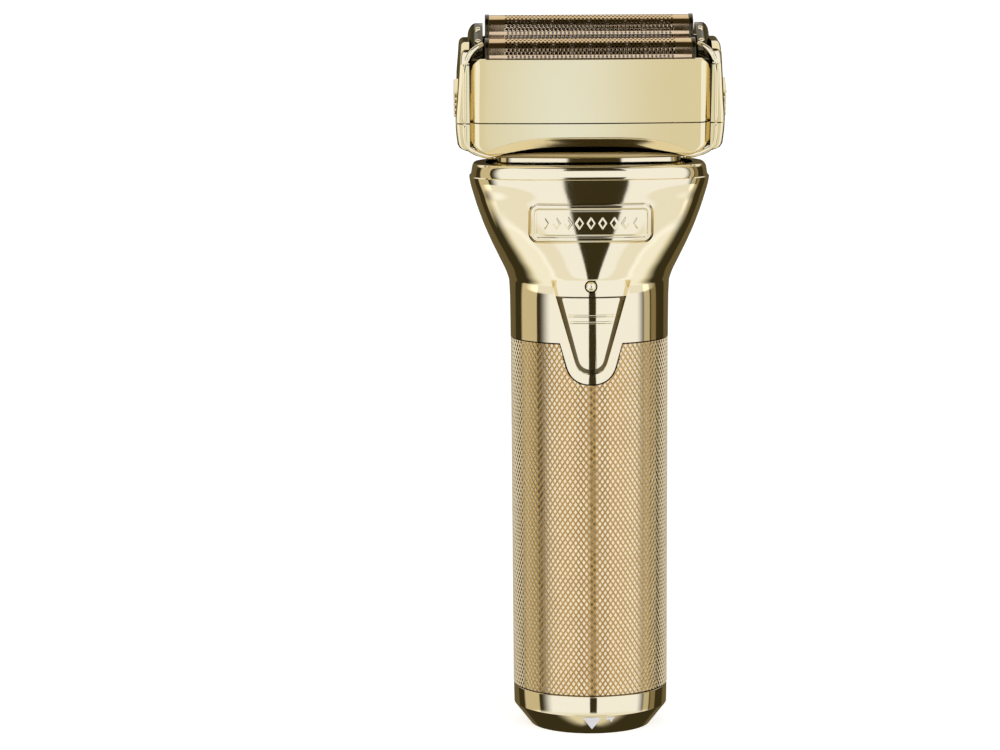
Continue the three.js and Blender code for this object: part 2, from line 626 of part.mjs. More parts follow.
// A fork round one eccentric, with a cranked post that rises through the neck into the head.
function driveArm(side) {
  const level = CAM_LOW + YOKE_LIFT + (side > 0 ? CAM_STEP : 0);
  const reach = YOKE_INNER + PRONG_WIDTH;
  const depth = ARM_DEPTH.map((y) => side * y);
  const bar = box(-reach, reach, Math.min(...depth), Math.max(...depth), level, level + YOKE_THICK);
  const prongEnds = PRONG_SPAN.map((y) => side * y);
  const prongs = [-1, 1].map((x) => box(
    x < 0 ? -reach : YOKE_INNER, x < 0 ? -YOKE_INNER : reach,
    Math.min(...prongEnds), Math.max(...prongEnds), level, level + YOKE_THICK));
  const kneeHeight = side > 0 ? KNEE_REAR : KNEE_FRONT;
  const riser = box(-POST_HALF, POST_HALF, Math.min(...depth), Math.max(...depth), level, kneeHeight);
  const v = side * FOIL_V;
  const post = fromHead(box(-POST_HALF, POST_HALF, v - POST_HALF_V, v + POST_HALF_V, POST_LOW, POST_HIGH));
  return join(bar, ...prongs, riser, post);
}

place(model, 'motor_can', motorCan(), 'steel');
place(model, 'motor_end_cap', disc(MOTOR_CAP_R, MOTOR_CAP_LOW, MOTOR_LOW - GAP), 'black');
const cushion = tube(MOTOR_R + GAP, CUSHION_R, CUSHION_LOW, CUSHION_HIGH, SMALL);
place(model, 'motor_cushion', cut(cushion, upright(CUSHION_SLIT)), 'rubber');
place(model, 'motor_chassis', cut(turned(CHASSIS_PROFILE, SMALL * 1.5), upright(CHASSIS_WINDOW)), 'black');
place(model, 'motor_shaft', disc(SHAFT_R, MOTOR_LOW + OVERSHOOT, SHAFT_TOP, TINY), 'steel');
place(model, 'eccentric_cam', eccentricCam(), 'copper');
place(model, 'drive_arm_front', driveArm(-1), 'black');
place(model, 'drive_arm_rear', driveArm(1), 'black');

// ---- neck ---------------------------------------------------------------------------------
function neckPrism(offset, low, high) {
  return prismUp(NECK_HALF_W + offset, NECK_HALF_D + offset, NECK_SQUARENESS, low, high, NECK_FACETS);
}

function headNeck() {
  const { halfW, halfD, squareness, thick } = FLANGE;
  const outside = neckPrism(0, NECK_LOW, NECK_HIGH);
  const inside = neckPrism(-NECK_WALL, NECK_LOW - thick - OVERSHOOT, NECK_HIGH - OVERSHOOT);
  const clearance = fromHead(headSolid().translate(0, 0, -GAP));
  const flange = prismUp(halfW, halfD, squareness, NECK_LOW - thick, NECK_LOW, NECK_FACETS);
  return cut(join(outside, flange), inside, clearance);
}

function neckGasket() {
  const { halfW, halfD, squareness, high } = GASKET;
  const outside = prismUp(halfW, halfD, squareness, NECK_LOW + GAP, NECK_LOW + high, NECK_FACETS);
  return cut(outside, neckPrism(GAP, NECK_LOW - OVERSHOOT, NECK_LOW + high + OVERSHOOT));
}

place(model, 'head_neck', headNeck(), 'chrome');
place(model, 'neck_gasket', neckGasket(), 'rubber');

// ---- head base ----------------------------------------------------------------------------
const ARM_WINDOW = POST_HALF + ECCENTRICITY + GAP;

function cavity(low, high) {
  return prismUp(CAVITY.halfW, CAVITY.halfD, CAVITY.squareness, low, high);
}

function armWindows(low, high) {
  return ARM_WINDOW_DEPTHS.map(([near, far]) => box(-ARM_WINDOW, ARM_WINDOW, near, far, low, high));
}

function headBase() {
  const windows = armWindows(CAVITY_SPAN[0], 0);
  return cut(headSolid(), beyondPlane(SEAM_FRONT - GAP / 2, 1), cavity(BASE_FLOOR, CAVITY_SPAN[1]), ...windows);
}

function driveDeck() {
  const plate = prismUp(CAVITY.halfW - GAP, CAVITY.halfD - GAP, CAVITY.squareness, DECK_LOW, DECK_HIGH);
  const low = DECK_LOW - OVERSHOOT;
  const high = DECK_HIGH + OVERSHOOT;
  const holes = SCREW_PLACES.map(([u, v]) => disc(SCREW_HOLE_R, low, high, SCREW_FACETS).translate(u, v, 0));
  return cut(plate, ...armWindows(low, high), ...holes);
}

function hairSeal(side) {
  const v = side * SEAL.v;
  const body = box(-SEAL.half, SEAL.half, v - SEAL.halfV, v + SEAL.halfV, DECK_HIGH + GAP, DECK_HIGH + SEAL.high);
  return cut(body, box(-ARM_WINDOW, ARM_WINDOW, v - SEAL.openNear, v + SEAL.openFar, 0, 2 * SEAL.high + DECK_HIGH));
}

place(head, 'head_base', headBase(), 'chrome');
place(head, 'drive_deck', driveDeck(), 'black');
place(head, 'hair_seal_front', hairSeal(-1), 'rubber');
place(head, 'hair_seal_rear', hairSeal(1), 'rubber');
const SCREW = turned([
  [0, SCREW_LOW], [SCREW_SHANK_R, SCREW_LOW], [SCREW_SHANK_R, DECK_HIGH + GAP], [SCREW_HEAD_R, DECK_HIGH + GAP],
  [SCREW_HEAD_R, DECK_HIGH + SCREW_HEAD[0]], [0, DECK_HIGH + SCREW_HEAD[1]],
], SCREW_FACETS);
SCREW_PLACES.forEach(([u, v], i) => place(head, `deck_screw_${i + 1}`, SCREW.clone(), 'steel').position.set(u, v, 0));

// ---- foil cassette ------------------------------------------------------------------------
function buttonWindow(side, grow) {
  const inner = side < 0 ? -BUTTON_WINDOW_IN - BUTTON_WINDOW_DEPTH : BUTTON_WINDOW_IN;
  const halfV = BUTTON_HALF_V + grow;
  return box(inner, inner + BUTTON_WINDOW_DEPTH, BUTTON_V - halfV, BUTTON_V + halfV,
    BUTTON_LOW - grow, BUTTON_HIGH + grow);
}

function foilCassette() {
  return cut(headSolid(), beyondPlane(SEAM_FRONT + GAP / 2, -1), beyondPlane(RIM_FRONT, 1), cavity(...CAVITY_SPAN),
    buttonWindow(-1, GAP), buttonWindow(1, GAP));
}

// Its opening lets both cutters pass when the cassette is lifted off.
function innerFrame() {
  const openV = FOIL_V + CUTTER_R + FRAME_CLEARANCE;
  const body = prismUp(FRAME_HALF_W, FRAME_HALF_D, FRAME_SQUARENESS, FRAME_LOW, FRAME_HIGH, FRAME_FACETS);
  return cut(body, box(-FRAME_OPEN_U, FRAME_OPEN_U, -openV, openV, FRAME_LOW - OVERSHOOT, FRAME_HIGH + OVERSHOOT));
}

// Rounded block that closes one end of the foil opening.
function endBlock() {
  const profile = new THREE.Shape();
  profile.moveTo(-BLOCK_HALF_D, BLOCK_LOW);
  profile.lineTo(BLOCK_HALF_D, BLOCK_LOW);
  profile.lineTo(BLOCK_HALF_D, BLOCK_REAR.shoulder);
  profile.quadraticCurveTo(BLOCK_REAR.bendV, BLOCK_REAR.bendW, BLOCK_REAR.flat, BLOCK_HIGH);
  profile.lineTo(-BLOCK_FRONT.flat, BLOCK_HIGH);
  profile.quadraticCurveTo(-BLOCK_FRONT.bendV, BLOCK_FRONT.bendW, -BLOCK_HALF_D, BLOCK_FRONT.shoulder);
  profile.closePath();
  const front = new THREE.Shape();
  front.moveTo(BLOCK_IN, BLOCK_LOW - OVERSHOOT);
  front.lineTo(BLOCK_OUT, BLOCK_LOW - OVERSHOOT);
  front.lineTo(BLOCK_OUT, BLOCK_HIGH - BLOCK_CORNER);
  front.quadraticCurveTo(BLOCK_OUT - 0.1, BLOCK_HIGH - 0.2, BLOCK_IN, BLOCK_HIGH);
  front.closePath();
  const side = sidePrism(profile, BLOCK_IN - OVERSHOOT, BLOCK_OUT + OVERSHOOT);
  const block = common(side, frontPrism(front, HEAD_DEPTH, -HEAD_DEPTH, 8));
  return common(block, prismUp(CAVITY.halfW - GAP, CAVITY.halfD - GAP, CAVITY.squareness, ...BLOCK_TRIM));
}

// Mirrors a geometry across the plane x = 0 and keeps its faces pointing out.
function mirrored(geometry) {
  const copy = geometry.clone().applyMatrix4(new THREE.Matrix4().makeScale(-1, 1, 1));
  const index = copy.index.array;
  for (let i = 0; i < index.length; i += 3) [index[i], index[i + 1]] = [index[i + 1], index[i]];
  return copy;
}

function releaseButton() {
  const plate = box(BUTTON_IN, BUTTON_OUT, BUTTON_V - BUTTON_HALF_V, BUTTON_V + BUTTON_HALF_V, BUTTON_LOW, BUTTON_HIGH);
  const pitch = (BUTTON_HIGH - BUTTON_LOW) / RIB_COUNT;
  const ribs = [];
  for (let i = 0; i < RIB_COUNT; i += 1) {
    const z = BUTTON_LOW + (i + 0.5) * pitch;
    ribs.push(box(BUTTON_OUT - RIB_ROOT, BUTTON_OUT + RIB_PROUD,
      BUTTON_V - RIB_HALF_V, BUTTON_V + RIB_HALF_V, z - RIB_HALF_W, z + RIB_HALF_W));
  }
  return join(plate, ...ribs);
}

place(head, 'foil_cassette', foilCassette(), 'chrome');
place(head, 'cassette_inner_frame', innerFrame(), 'black');
const SPRING = tube(SMALL_COIL.inner, SMALL_COIL.outer, 0, SMALL_COIL.length, SPRING_FACETS);
for (const [label, side] of [['left', -1], ['right', 1]]) {
  const flip = side > 0 ? (g) => g : mirrored;
  place(head, `end_block_${label}`, flip(endBlock()), 'black');
  place(head, `release_button_${label}`, flip(releaseButton()), 'chrome');
  const spring = place(head, `button_spring_${label}`, SPRING.clone(), 'steel');
  spring.rotation.y = Math.PI / 2;
  spring.position.set(side > 0 ? BUTTON_COIL_IN : -BUTTON_COIL_IN - SMALL_COIL.length, BUTTON_V, BUTTON_COIL_W);
}

// ---- foils and cutters --------------------------------------------------------------------
// Side view of an arch of radius r with straight legs down to `low`.
function archShape(v, r, low) {
  const shape = new THREE.Shape();
  shape.moveTo(v - r, low);
  shape.lineTo(v + r, low);
  shape.lineTo(v + r, FOIL_W);
  shape.absarc(v, FOIL_W, r, 0, Math.PI);
  shape.closePath();
  return shape;
}

function foilSheet(v) {
  const outside = sidePrism(archShape(v, FOIL_R, FOIL_SKIRT), -FOIL_HALF, FOIL_HALF);
  const reach = FOIL_HALF + OVERSHOOT;
  return cut(outside, sidePrism(archShape(v, FOIL_R - FOIL_THICK, FOIL_SKIRT - OVERSHOOT), -reach, reach));
}

function cutterBlades(v) {
  const blades = [];
  const pitch = (2 * CUTTER_HALF - BLADE_THICK) / (BLADE_COUNT - 1);
  for (let i = 0; i < BLADE_COUNT; i += 1) {
    const x = -CUTTER_HALF + i * pitch;
    blades.push(sidePrism(archShape(v, CUTTER_R, BLADE_LOW), x, x + BLADE_THICK, 5));
  }
  const spine = box(-CUTTER_HALF, CUTTER_HALF, v - SPINE_HALF_V, v + SPINE_HALF_V, CARRIER_HIGH + GAP, SPINE_HIGH);
  return join(spine, ...blades);
}

function cutterCarrier(v) {
  const near = v - CARRIER_HALF_V;
  const far = v + CARRIER_HALF_V;
  const bar = box(-CUTTER_HALF, CUTTER_HALF, near, far, CARRIER_LOW, CARRIER_HIGH);
  const socket = box(-SOCKET_HALF, SOCKET_HALF, near, far, SOCKET_LOW, CARRIER_LOW + OVERSHOOT);
  const { halfV, low, high } = SOCKET_HOLE;
  return cut(join(bar, socket), box(-POST_HALF - GAP, POST_HALF + GAP, v - halfV, v + halfV, low, high));
}

const CUTTER_SPRING = tube(CUTTER_COIL.inner, CUTTER_COIL.outer, CUTTER_COIL.low, CUTTER_COIL.high, SPRING_FACETS);
for (const [label, side] of [['front', -1], ['rear', 1]]) {
  const v = side * FOIL_V;
  place(head, `foil_${label}`, foilSheet(v), 'foil');
  place(head, `cutter_blades_${label}`, cutterBlades(v), 'steel');
  place(head, `cutter_carrier_${label}`, cutterCarrier(v), 'black');
  place(head, `cutter_spring_${label}`, CUTTER_SPRING.clone(), 'steel').position.set(0, v, 0);
  for (const [hand, x] of [['left', -1], ['right', 1]]) {
    const near = x > 0 ? FOIL_HALF + GAP : -FOIL_HALF - GAP - END_PLATE_THICK;
    const plate = sidePrism(archShape(v, END_PLATE_R, END_PLATE_LOW), near, near + END_PLATE_THICK);
    place(head, `foil_end_${label}_${hand}`, plate, 'black');
    const spring = place(head, `foil_spring_${label}_${hand}`, SPRING.clone(), 'steel');
    spring.position.set(x * (FOIL_HALF + GAP + END_PLATE_THICK / 2), v, FOIL_COIL_W);
  }
}

export default model;
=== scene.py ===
"""Looks of the double-foil shaver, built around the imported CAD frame.

Shapes are drawn in millimetres and scaled when a piece is placed. Head pieces are drawn in the head's
own frame: u across, v from front to back, w up the head.
"""

import json
import math

import bmesh
import bpy
import numpy as np
from mathutils import Matrix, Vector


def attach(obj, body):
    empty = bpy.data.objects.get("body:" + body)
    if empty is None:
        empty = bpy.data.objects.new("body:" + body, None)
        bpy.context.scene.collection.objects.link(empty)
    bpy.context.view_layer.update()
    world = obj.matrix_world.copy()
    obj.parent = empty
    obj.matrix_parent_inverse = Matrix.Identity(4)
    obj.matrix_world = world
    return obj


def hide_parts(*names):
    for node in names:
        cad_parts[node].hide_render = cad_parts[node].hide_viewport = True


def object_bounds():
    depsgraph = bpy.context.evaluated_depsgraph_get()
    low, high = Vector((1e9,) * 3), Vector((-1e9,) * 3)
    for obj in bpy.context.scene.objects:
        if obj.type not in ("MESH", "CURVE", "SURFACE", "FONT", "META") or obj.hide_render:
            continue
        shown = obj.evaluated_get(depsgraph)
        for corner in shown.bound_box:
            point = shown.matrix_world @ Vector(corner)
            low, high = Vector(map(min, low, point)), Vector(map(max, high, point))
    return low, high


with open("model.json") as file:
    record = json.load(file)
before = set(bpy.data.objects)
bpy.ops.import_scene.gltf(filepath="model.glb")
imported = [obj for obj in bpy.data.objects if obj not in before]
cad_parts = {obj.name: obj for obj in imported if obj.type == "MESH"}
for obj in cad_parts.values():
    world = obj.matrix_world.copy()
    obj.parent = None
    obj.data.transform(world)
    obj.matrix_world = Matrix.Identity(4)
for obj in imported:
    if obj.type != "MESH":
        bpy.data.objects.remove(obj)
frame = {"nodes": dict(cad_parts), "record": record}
CAD_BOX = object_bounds()

MM = 0.001

# ---- dimensions shared with the CAD part, in millimetres --------------------------------------
RING_TOP = 9.5
SLEEVE_LOW, SLEEVE_TOP = 9.8, 90.7
SLEEVE_R_LOW, SLEEVE_R_HIGH, SLEEVE_BORE = 17.9, 18.15, 16.6
HOUSING_LOW = 91.0
HOUSING_KEYS = np.array([
    [80.0, 18.2, 18.2, 2.0], [91.0, 18.2, 18.2, 2.0], [101.0, 18.3, 18.3, 2.0], [103.4, 18.38, 18.38, 2.02],
    [105.6, 18.95, 18.84, 2.12], [109.4, 20.7, 19.02, 2.35], [113.5, 22.65, 19.2, 2.6], [117.5, 24.35, 19.37, 2.8],
    [123.0, 26.25, 19.6, 3.0], [127.6, 27.45, 19.8, 3.2], [128.1, 27.5, 19.8, 3.2], [128.3, 27.22, 19.5, 3.2],
    [130.5, 26.75, 18.9, 3.2],
    [131.05, 26.4, 18.4, 3.2], [131.2, 25.8, 17.8, 3.2],
])
HOUSING_WALL = 2.1
HEAD_TILT = math.radians(24)
HEAD_Z = 139.3
HEAD_KEYS = np.array([
    [-2.2, 22.5], [0.0, 28.6], [1.4, 30.0], [7.0, 30.4], [13.0, 30.0], [26.0, 29.1],
])
SEAM_FRONT, RIM_FRONT, PLANE_FALL, HEAD_DEPTH = 7.2, 23.1, 0.233, 13.0
CORE_HALF_U, CORE_CORNER, CORE_CROWN = 27.6, 3.2, 0.5
CAVITY_HALF_U, CAVITY_HALF_V = 27.1, 11.7
FOIL_V, FOIL_W, FOIL_R, FOIL_HALF, FOIL_SKIRT = 6.15, 19.7, 5.0, 22.4, 16.2
TO_WORLD = Matrix.Translation((0, 0, HEAD_Z)) @ Matrix.Rotation(HEAD_TILT, 4, "X")
BUTTON_WINDOW = ((-8.9, -0.3), (5.9, 13.5))
LAMP_Z = 103.9
# Ovals, as half width, half depth and squareness.
NECK_OVAL, NECK_BORE, FLANGE_OVAL = (21.1, 9.8, 3.0), (19.7, 8.4, 3.0), (22.6, 14.6, 3.2)
LEDGE_OVAL, LEDGE_HOLE = (24.0, 15.4, 3.2), (21.3, 10.0, 3.0)
# Funnel outlines on the front, as half width at the top, top, half width at the bottom, bottom.
TONGUE = (7.2, HOUSING_LOW + 0.5, 5.6, 81.7)
RECESS = (9.1, 105.4, 3.7, 83.9)
CHANNEL = (8.0, 101.6, 3.7, 83.9)
# The outline of the dark skin of painted shade on the floor of the switch's channel.
CHANNEL_SHADE = (7.9, 101.5, 3.6, 84.0)
SLIDER = (6.6, 101.3, 2.9, 85.1)
SLEEVE_NOTCH = (7.6, SLEEVE_TOP + 2, 5.95, 81.4)
# The axis and range that push an outline through the front half of the handle.
FRONT = ("y", -30, 0)


# ---- small geometry kit -----------------------------------------------------------------------
def curve(keys, at):
    """Monotone cubic interpolation of the first column of keys to all the others."""
    x, y = keys[:, 0], keys[:, 1:]
    step = np.diff(x)[:, None]
    slope = np.diff(y, axis=0) / step
    tangent = np.zeros_like(y)
    tangent[0], tangent[-1] = slope[0], slope[-1]
    inner = slope[:-1] * slope[1:]
    tangent[1:-1] = np.where(inner > 0, 2 * inner / np.where(inner > 0, slope[:-1] + slope[1:], 1), 0)
    at = np.clip(np.atleast_1d(np.asarray(at, float)), x[0], x[-1])
    k = np.clip(np.searchsorted(x, at, side="right") - 1, 0, len(x) - 2)
    t = ((at - x[k]) / np.diff(x)[k])[:, None]
    h = step[k]
    return ((2 * t**3 - 3 * t**2 + 1) * y[k] + (t**3 - 2 * t**2 + t) * h * tangent[k]
            + (3 * t**2 - 2 * t**3) * y[k + 1] + (t**3 - t**2) * h * tangent[k + 1])


def solid(verts, faces):
    """A temporary closed object in millimetres with its faces pointing out."""
    mesh = bpy.data.meshes.new("solid")
    mesh.from_pydata(np.asarray(verts, float).tolist(), [], [tuple(int(i) for i in f) for f in faces])
    bm = bmesh.new()
    bm.from_mesh(mesh)
    bmesh.ops.remove_doubles(bm, verts=bm.verts, dist=1e-4)
    bmesh.ops.dissolve_degenerate(bm, edges=bm.edges, dist=1e-5)
    bmesh.ops.recalc_face_normals(bm, faces=bm.faces)
    bm.to_mesh(mesh)
    bm.free()
    obj = bpy.data.objects.new("solid", mesh)
    bpy.context.scene.collection.objects.link(obj)
    return obj


def grid_faces(rows, count, closed=True, offset=0):
    """Quads between `rows` rings of `count` points."""
    i = np.arange(count if closed else count - 1)
    j = (i + 1) % count
    faces = []
    for r in range(rows - 1):
        low, high = offset + r * count, offset + (r + 1) * count
        faces += np.stack([low + i, low + j, high + j, high + i], axis=1).tolist()
    return faces


def grid_border(rows, count):
    """The points round the edge of a grid of `rows` lines of `count` points."""
    return ([i for i in range(count)] + [r * count + count - 1 for r in range(1, rows)]
            + [(rows - 1) * count + i for i in range(count - 2, -1, -1)]
            + [r * count for r in range(rows - 2, 0, -1)])


def loft(rings):
    """A closed solid through rings that all have the same number of points."""
    count = len(rings[0])
    faces = grid_faces(len(rings), count)
    last = (len(rings) - 1) * count
    faces += [tuple(range(count - 1, -1, -1)), tuple(range(last, last + count))]
    return solid(np.concatenate(rings), faces)


def lathe(profile, segments=256):
    """A closed profile of [radius, height] points turned about Z."""
    profile = np.asarray(profile, float)
    angle = np.linspace(0, 2 * math.pi, segments, endpoint=False)
    r, z = profile[:, 0], profile[:, 1]
    verts = np.stack([np.outer(np.cos(angle), r), np.outer(np.sin(angle), r),
                      np.broadcast_to(z, (segments, len(z)))], axis=2).reshape(-1, 3)
    m = len(profile)
    faces = []
    for k in range(segments):
        n = (k + 1) % segments
        for p in range(m):
            q = (p + 1) % m
            if r[p] < 1e-6 and r[q] < 1e-6:
                continue
            faces.append((k * m + p, n * m + p, n * m + q, k * m + q))
    return solid(verts, faces)


def prism(outline, axis, low, high):
    """A flat outline extruded along x (outline is y, z), y (x, z) or z (x, y)."""
    outline = np.asarray(outline, float)
    n = len(outline)
    a, b = outline[:, 0], outline[:, 1]
    verts = []
    for level in (low, high):
        flat = np.full(n, float(level))
        verts.append(np.stack({"x": (flat, a, b), "y": (a, flat, b), "z": (a, b, flat)}[axis], axis=1))
    faces = [tuple(range(n)), tuple(range(n, 2 * n))]
    faces += [(i, (i + 1) % n, n + (i + 1) % n, n + i) for i in range(n)]
    return solid(np.concatenate(verts), faces)


def domed(radius, height, crown, start, steps):
    """The half section of a round stud with a domed end."""
    arc = np.linspace(start, math.pi / 2, steps)
    return ([(0, 0), (radius, 0), (radius, height)]
            + [(radius * math.cos(t), height + crown * math.sin(t)) for t in arc])


def block(x, y, z):
    return prism([(x[0], y[0]), (x[1], y[0]), (x[1], y[1]), (x[0], y[1])], "z", z[0], z[1])


def fillet(points, radii, steps=6):
    """A closed outline with each corner rounded by its radius."""
    points = np.asarray(points, float)
    n = len(points)
    radii = [radii] * n if np.isscalar(radii) else radii
    out = []
    for i in range(n):
        p, before, after = points[i], points[i - 1], points[(i + 1) % n]
        a, b = before - p, after - p
        la, lb = np.linalg.norm(a), np.linalg.norm(b)
        a, b = a / la, b / lb
        half = math.acos(float(np.clip(a @ b, -1, 1))) / 2
        if radii[i] <= 0 or half > math.pi / 2 - 0.02:
            out.append(p)
            continue
        reach = min(radii[i] / math.tan(half), 0.49 * la, 0.49 * lb)
        r = reach * math.tan(half)
        middle = (a + b) / np.linalg.norm(a + b)
        centre = p + middle * r / math.sin(half)
        start, end = p + a * reach - centre, p + b * reach - centre
        t0, t1 = math.atan2(start[1], start[0]), math.atan2(end[1], end[0])
        sweep = (t1 - t0 + math.pi) % (2 * math.pi) - math.pi
        for k in range(steps + 1):
            t = t0 + sweep * k / steps
            out.append(centre + r * np.array([math.cos(t), math.sin(t)]))
    return np.array(out)


def apply_modifiers(obj):
    bpy.context.view_layer.update()
    graph = bpy.context.evaluated_depsgraph_get()
    mesh = bpy.data.meshes.new_from_object(obj.evaluated_get(graph))
    obj.modifiers.clear()
    obj.data = mesh
    return obj


def combine(obj, tool, operation):
    modifier = obj.modifiers.new("cut", "BOOLEAN")
    modifier.object = tool
    modifier.operation = operation
    modifier.solver = "MANIFOLD"
    apply_modifiers(obj)
    bpy.data.objects.remove(tool)
    if not obj.data.polygons:
        raise ValueError("a boolean left nothing")
    return obj


def cut(obj, *tools):
    for tool in tools:
        combine(obj, tool, "DIFFERENCE")
    return obj


def keep(obj, tool):
    return combine(obj, tool, "INTERSECT")


def join(obj, *tools):
    for tool in tools:
        combine(obj, tool, "UNION")
    return obj


def bevel(obj, width, segments=3, angle=30):
    modifier = obj.modifiers.new("edge", "BEVEL")
    modifier.width = width
    modifier.segments = segments
    modifier.limit_method = "ANGLE"
    modifier.angle_limit = math.radians(angle)
    return apply_modifiers(obj)


def moved(obj, matrix):
    obj.data.transform(matrix)
    return obj


def turned(obj, degrees):
    return moved(obj, Matrix.Rotation(math.radians(degrees), 4, "Z"))


def mirrored(obj):
    obj.data.transform(Matrix.Scale(-1, 4, (1, 0, 0)))
    obj.data.flip_normals()
    return obj


def path_through(points, per=8):
    """A smooth line through the points."""
    p = np.asarray(points, float)
    p = np.vstack([2 * p[0] - p[1], p, 2 * p[-1] - p[-2]])
    out = []
    for i in range(1, len(p) - 2):
        for k in range(per):
            t = k / per
            a, b, c, d = p[i - 1], p[i], p[i + 1], p[i + 2]
            out.append(0.5 * (2 * b + (c - a) * t + (2 * a - 5 * b + 4 * c - d) * t**2
                              + (3 * b - a - 3 * c + d) * t**3))
    out.append(p[-2])
    return np.array(out)


def sweep(points, radius, sides=16):
    """A round bar along a line, with domed ends."""
    dome = ((0.5, 0.87), (0.9, 0.43))  # how far out and how wide each ring of a domed end is
    line = np.asarray(points, float)
    tangent = np.gradient(line, axis=0)
    tangent /= np.linalg.norm(tangent, axis=1)[:, None]
    side = np.cross(tangent[0], (0.3, 0.9, 0.31))
    rings = []
    angle = np.linspace(0, 2 * math.pi, sides, endpoint=False)

    def ring(centre, along, side, r):
        up = np.cross(along, side)
        return centre + r * (np.outer(np.cos(angle), side) + np.outer(np.sin(angle), up))

    for k, (centre, along) in enumerate(zip(line, tangent)):
        side = side - along * (side @ along)
        side /= np.linalg.norm(side)
        if k == 0:
            rings += [ring(centre - along * radius * s, along, side, radius * c) for s, c in reversed(dome)]
        rings.append(ring(centre, along, side, radius))
    rings += [ring(line[-1] + tangent[-1] * radius * s, tangent[-1], side, radius * c) for s, c in dome]
    return loft(rings)


def place(obj, name, body, look, replaces=(), head=False, sharp=30):
    """Names a finished solid, scales it to metres and hangs it on its body."""
    mesh = obj.data
    if head:
        mesh.transform(TO_WORLD)
    mesh.transform(Matrix.Scale(MM, 4))
    mesh.polygons.foreach_set("use_smooth", [True] * len(mesh.polygons))
    mesh.set_sharp_from_angle(angle=math.radians(sharp))
    mesh.materials.clear()
    mesh.materials.append(look)
    obj.name = name
    mesh.name = name
    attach(obj, body)
    if replaces:
        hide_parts(*replaces)
    return obj


# ---- materials --------------------------------------------------------------------------------
def link(tree, source, target):
    tree.links.new(source, target)


def surface(name, base, tint, rough, metallic, scale=180.0, bump=0.0, bump_scale=2500.0,
            stretch=(1, 1, 1), coat=0.0):
    """A finish whose colour, roughness and fine relief vary with noise. rough is (low, high)."""
    m = bpy.data.materials.new(name)
    m.use_nodes = True
    tree = m.node_tree
    shader = tree.nodes["Principled BSDF"]
    shader.inputs["Metallic"].default_value = metallic
    if coat:
        shader.inputs["Coat Weight"].default_value = coat
        shader.inputs["Coat Roughness"].default_value = 0.08
    place_node = tree.nodes.new("ShaderNodeTexCoord")
    mapping = tree.nodes.new("ShaderNodeMapping")
    mapping.inputs["Scale"].default_value = stretch
    link(tree, place_node.outputs["Object"], mapping.inputs["Vector"])
    noise = tree.nodes.new("ShaderNodeTexNoise")
    noise.inputs["Scale"].default_value = scale
    noise.inputs["Detail"].default_value = 4.0
    link(tree, mapping.outputs["Vector"], noise.inputs["Vector"])
    mix = tree.nodes.new("ShaderNodeMix")
    mix.data_type = "RGBA"
    mix.inputs["A"].default_value = (*base, 1)
    mix.inputs["B"].default_value = (*tint, 1)
    link(tree, noise.outputs["Fac"], mix.inputs["Factor"])
    link(tree, mix.outputs["Result"], shader.inputs["Base Color"])
    spread = tree.nodes.new("ShaderNodeMapRange")
    spread.inputs["From Min"].default_value = 0.3
    spread.inputs["From Max"].default_value = 0.7
    spread.inputs["To Min"].default_value = rough[0]
    spread.inputs["To Max"].default_value = rough[1]
    link(tree, noise.outputs["Fac"], spread.inputs["Value"])
    link(tree, spread.outputs["Result"], shader.inputs["Roughness"])
    if bump:
        grain = tree.nodes.new("ShaderNodeTexNoise")
        grain.inputs["Scale"].default_value = bump_scale
        grain.inputs["Detail"].default_value = 3.0
        link(tree, mapping.outputs["Vector"], grain.inputs["Vector"])
        relief = tree.nodes.new("ShaderNodeBump")
        relief.inputs["Strength"].default_value = bump
        relief.inputs["Distance"].default_value = 0.0001
        link(tree, grain.outputs["Fac"], relief.inputs["Height"])
        link(tree, relief.outputs["Normal"], shader.inputs["Normal"])
    return m


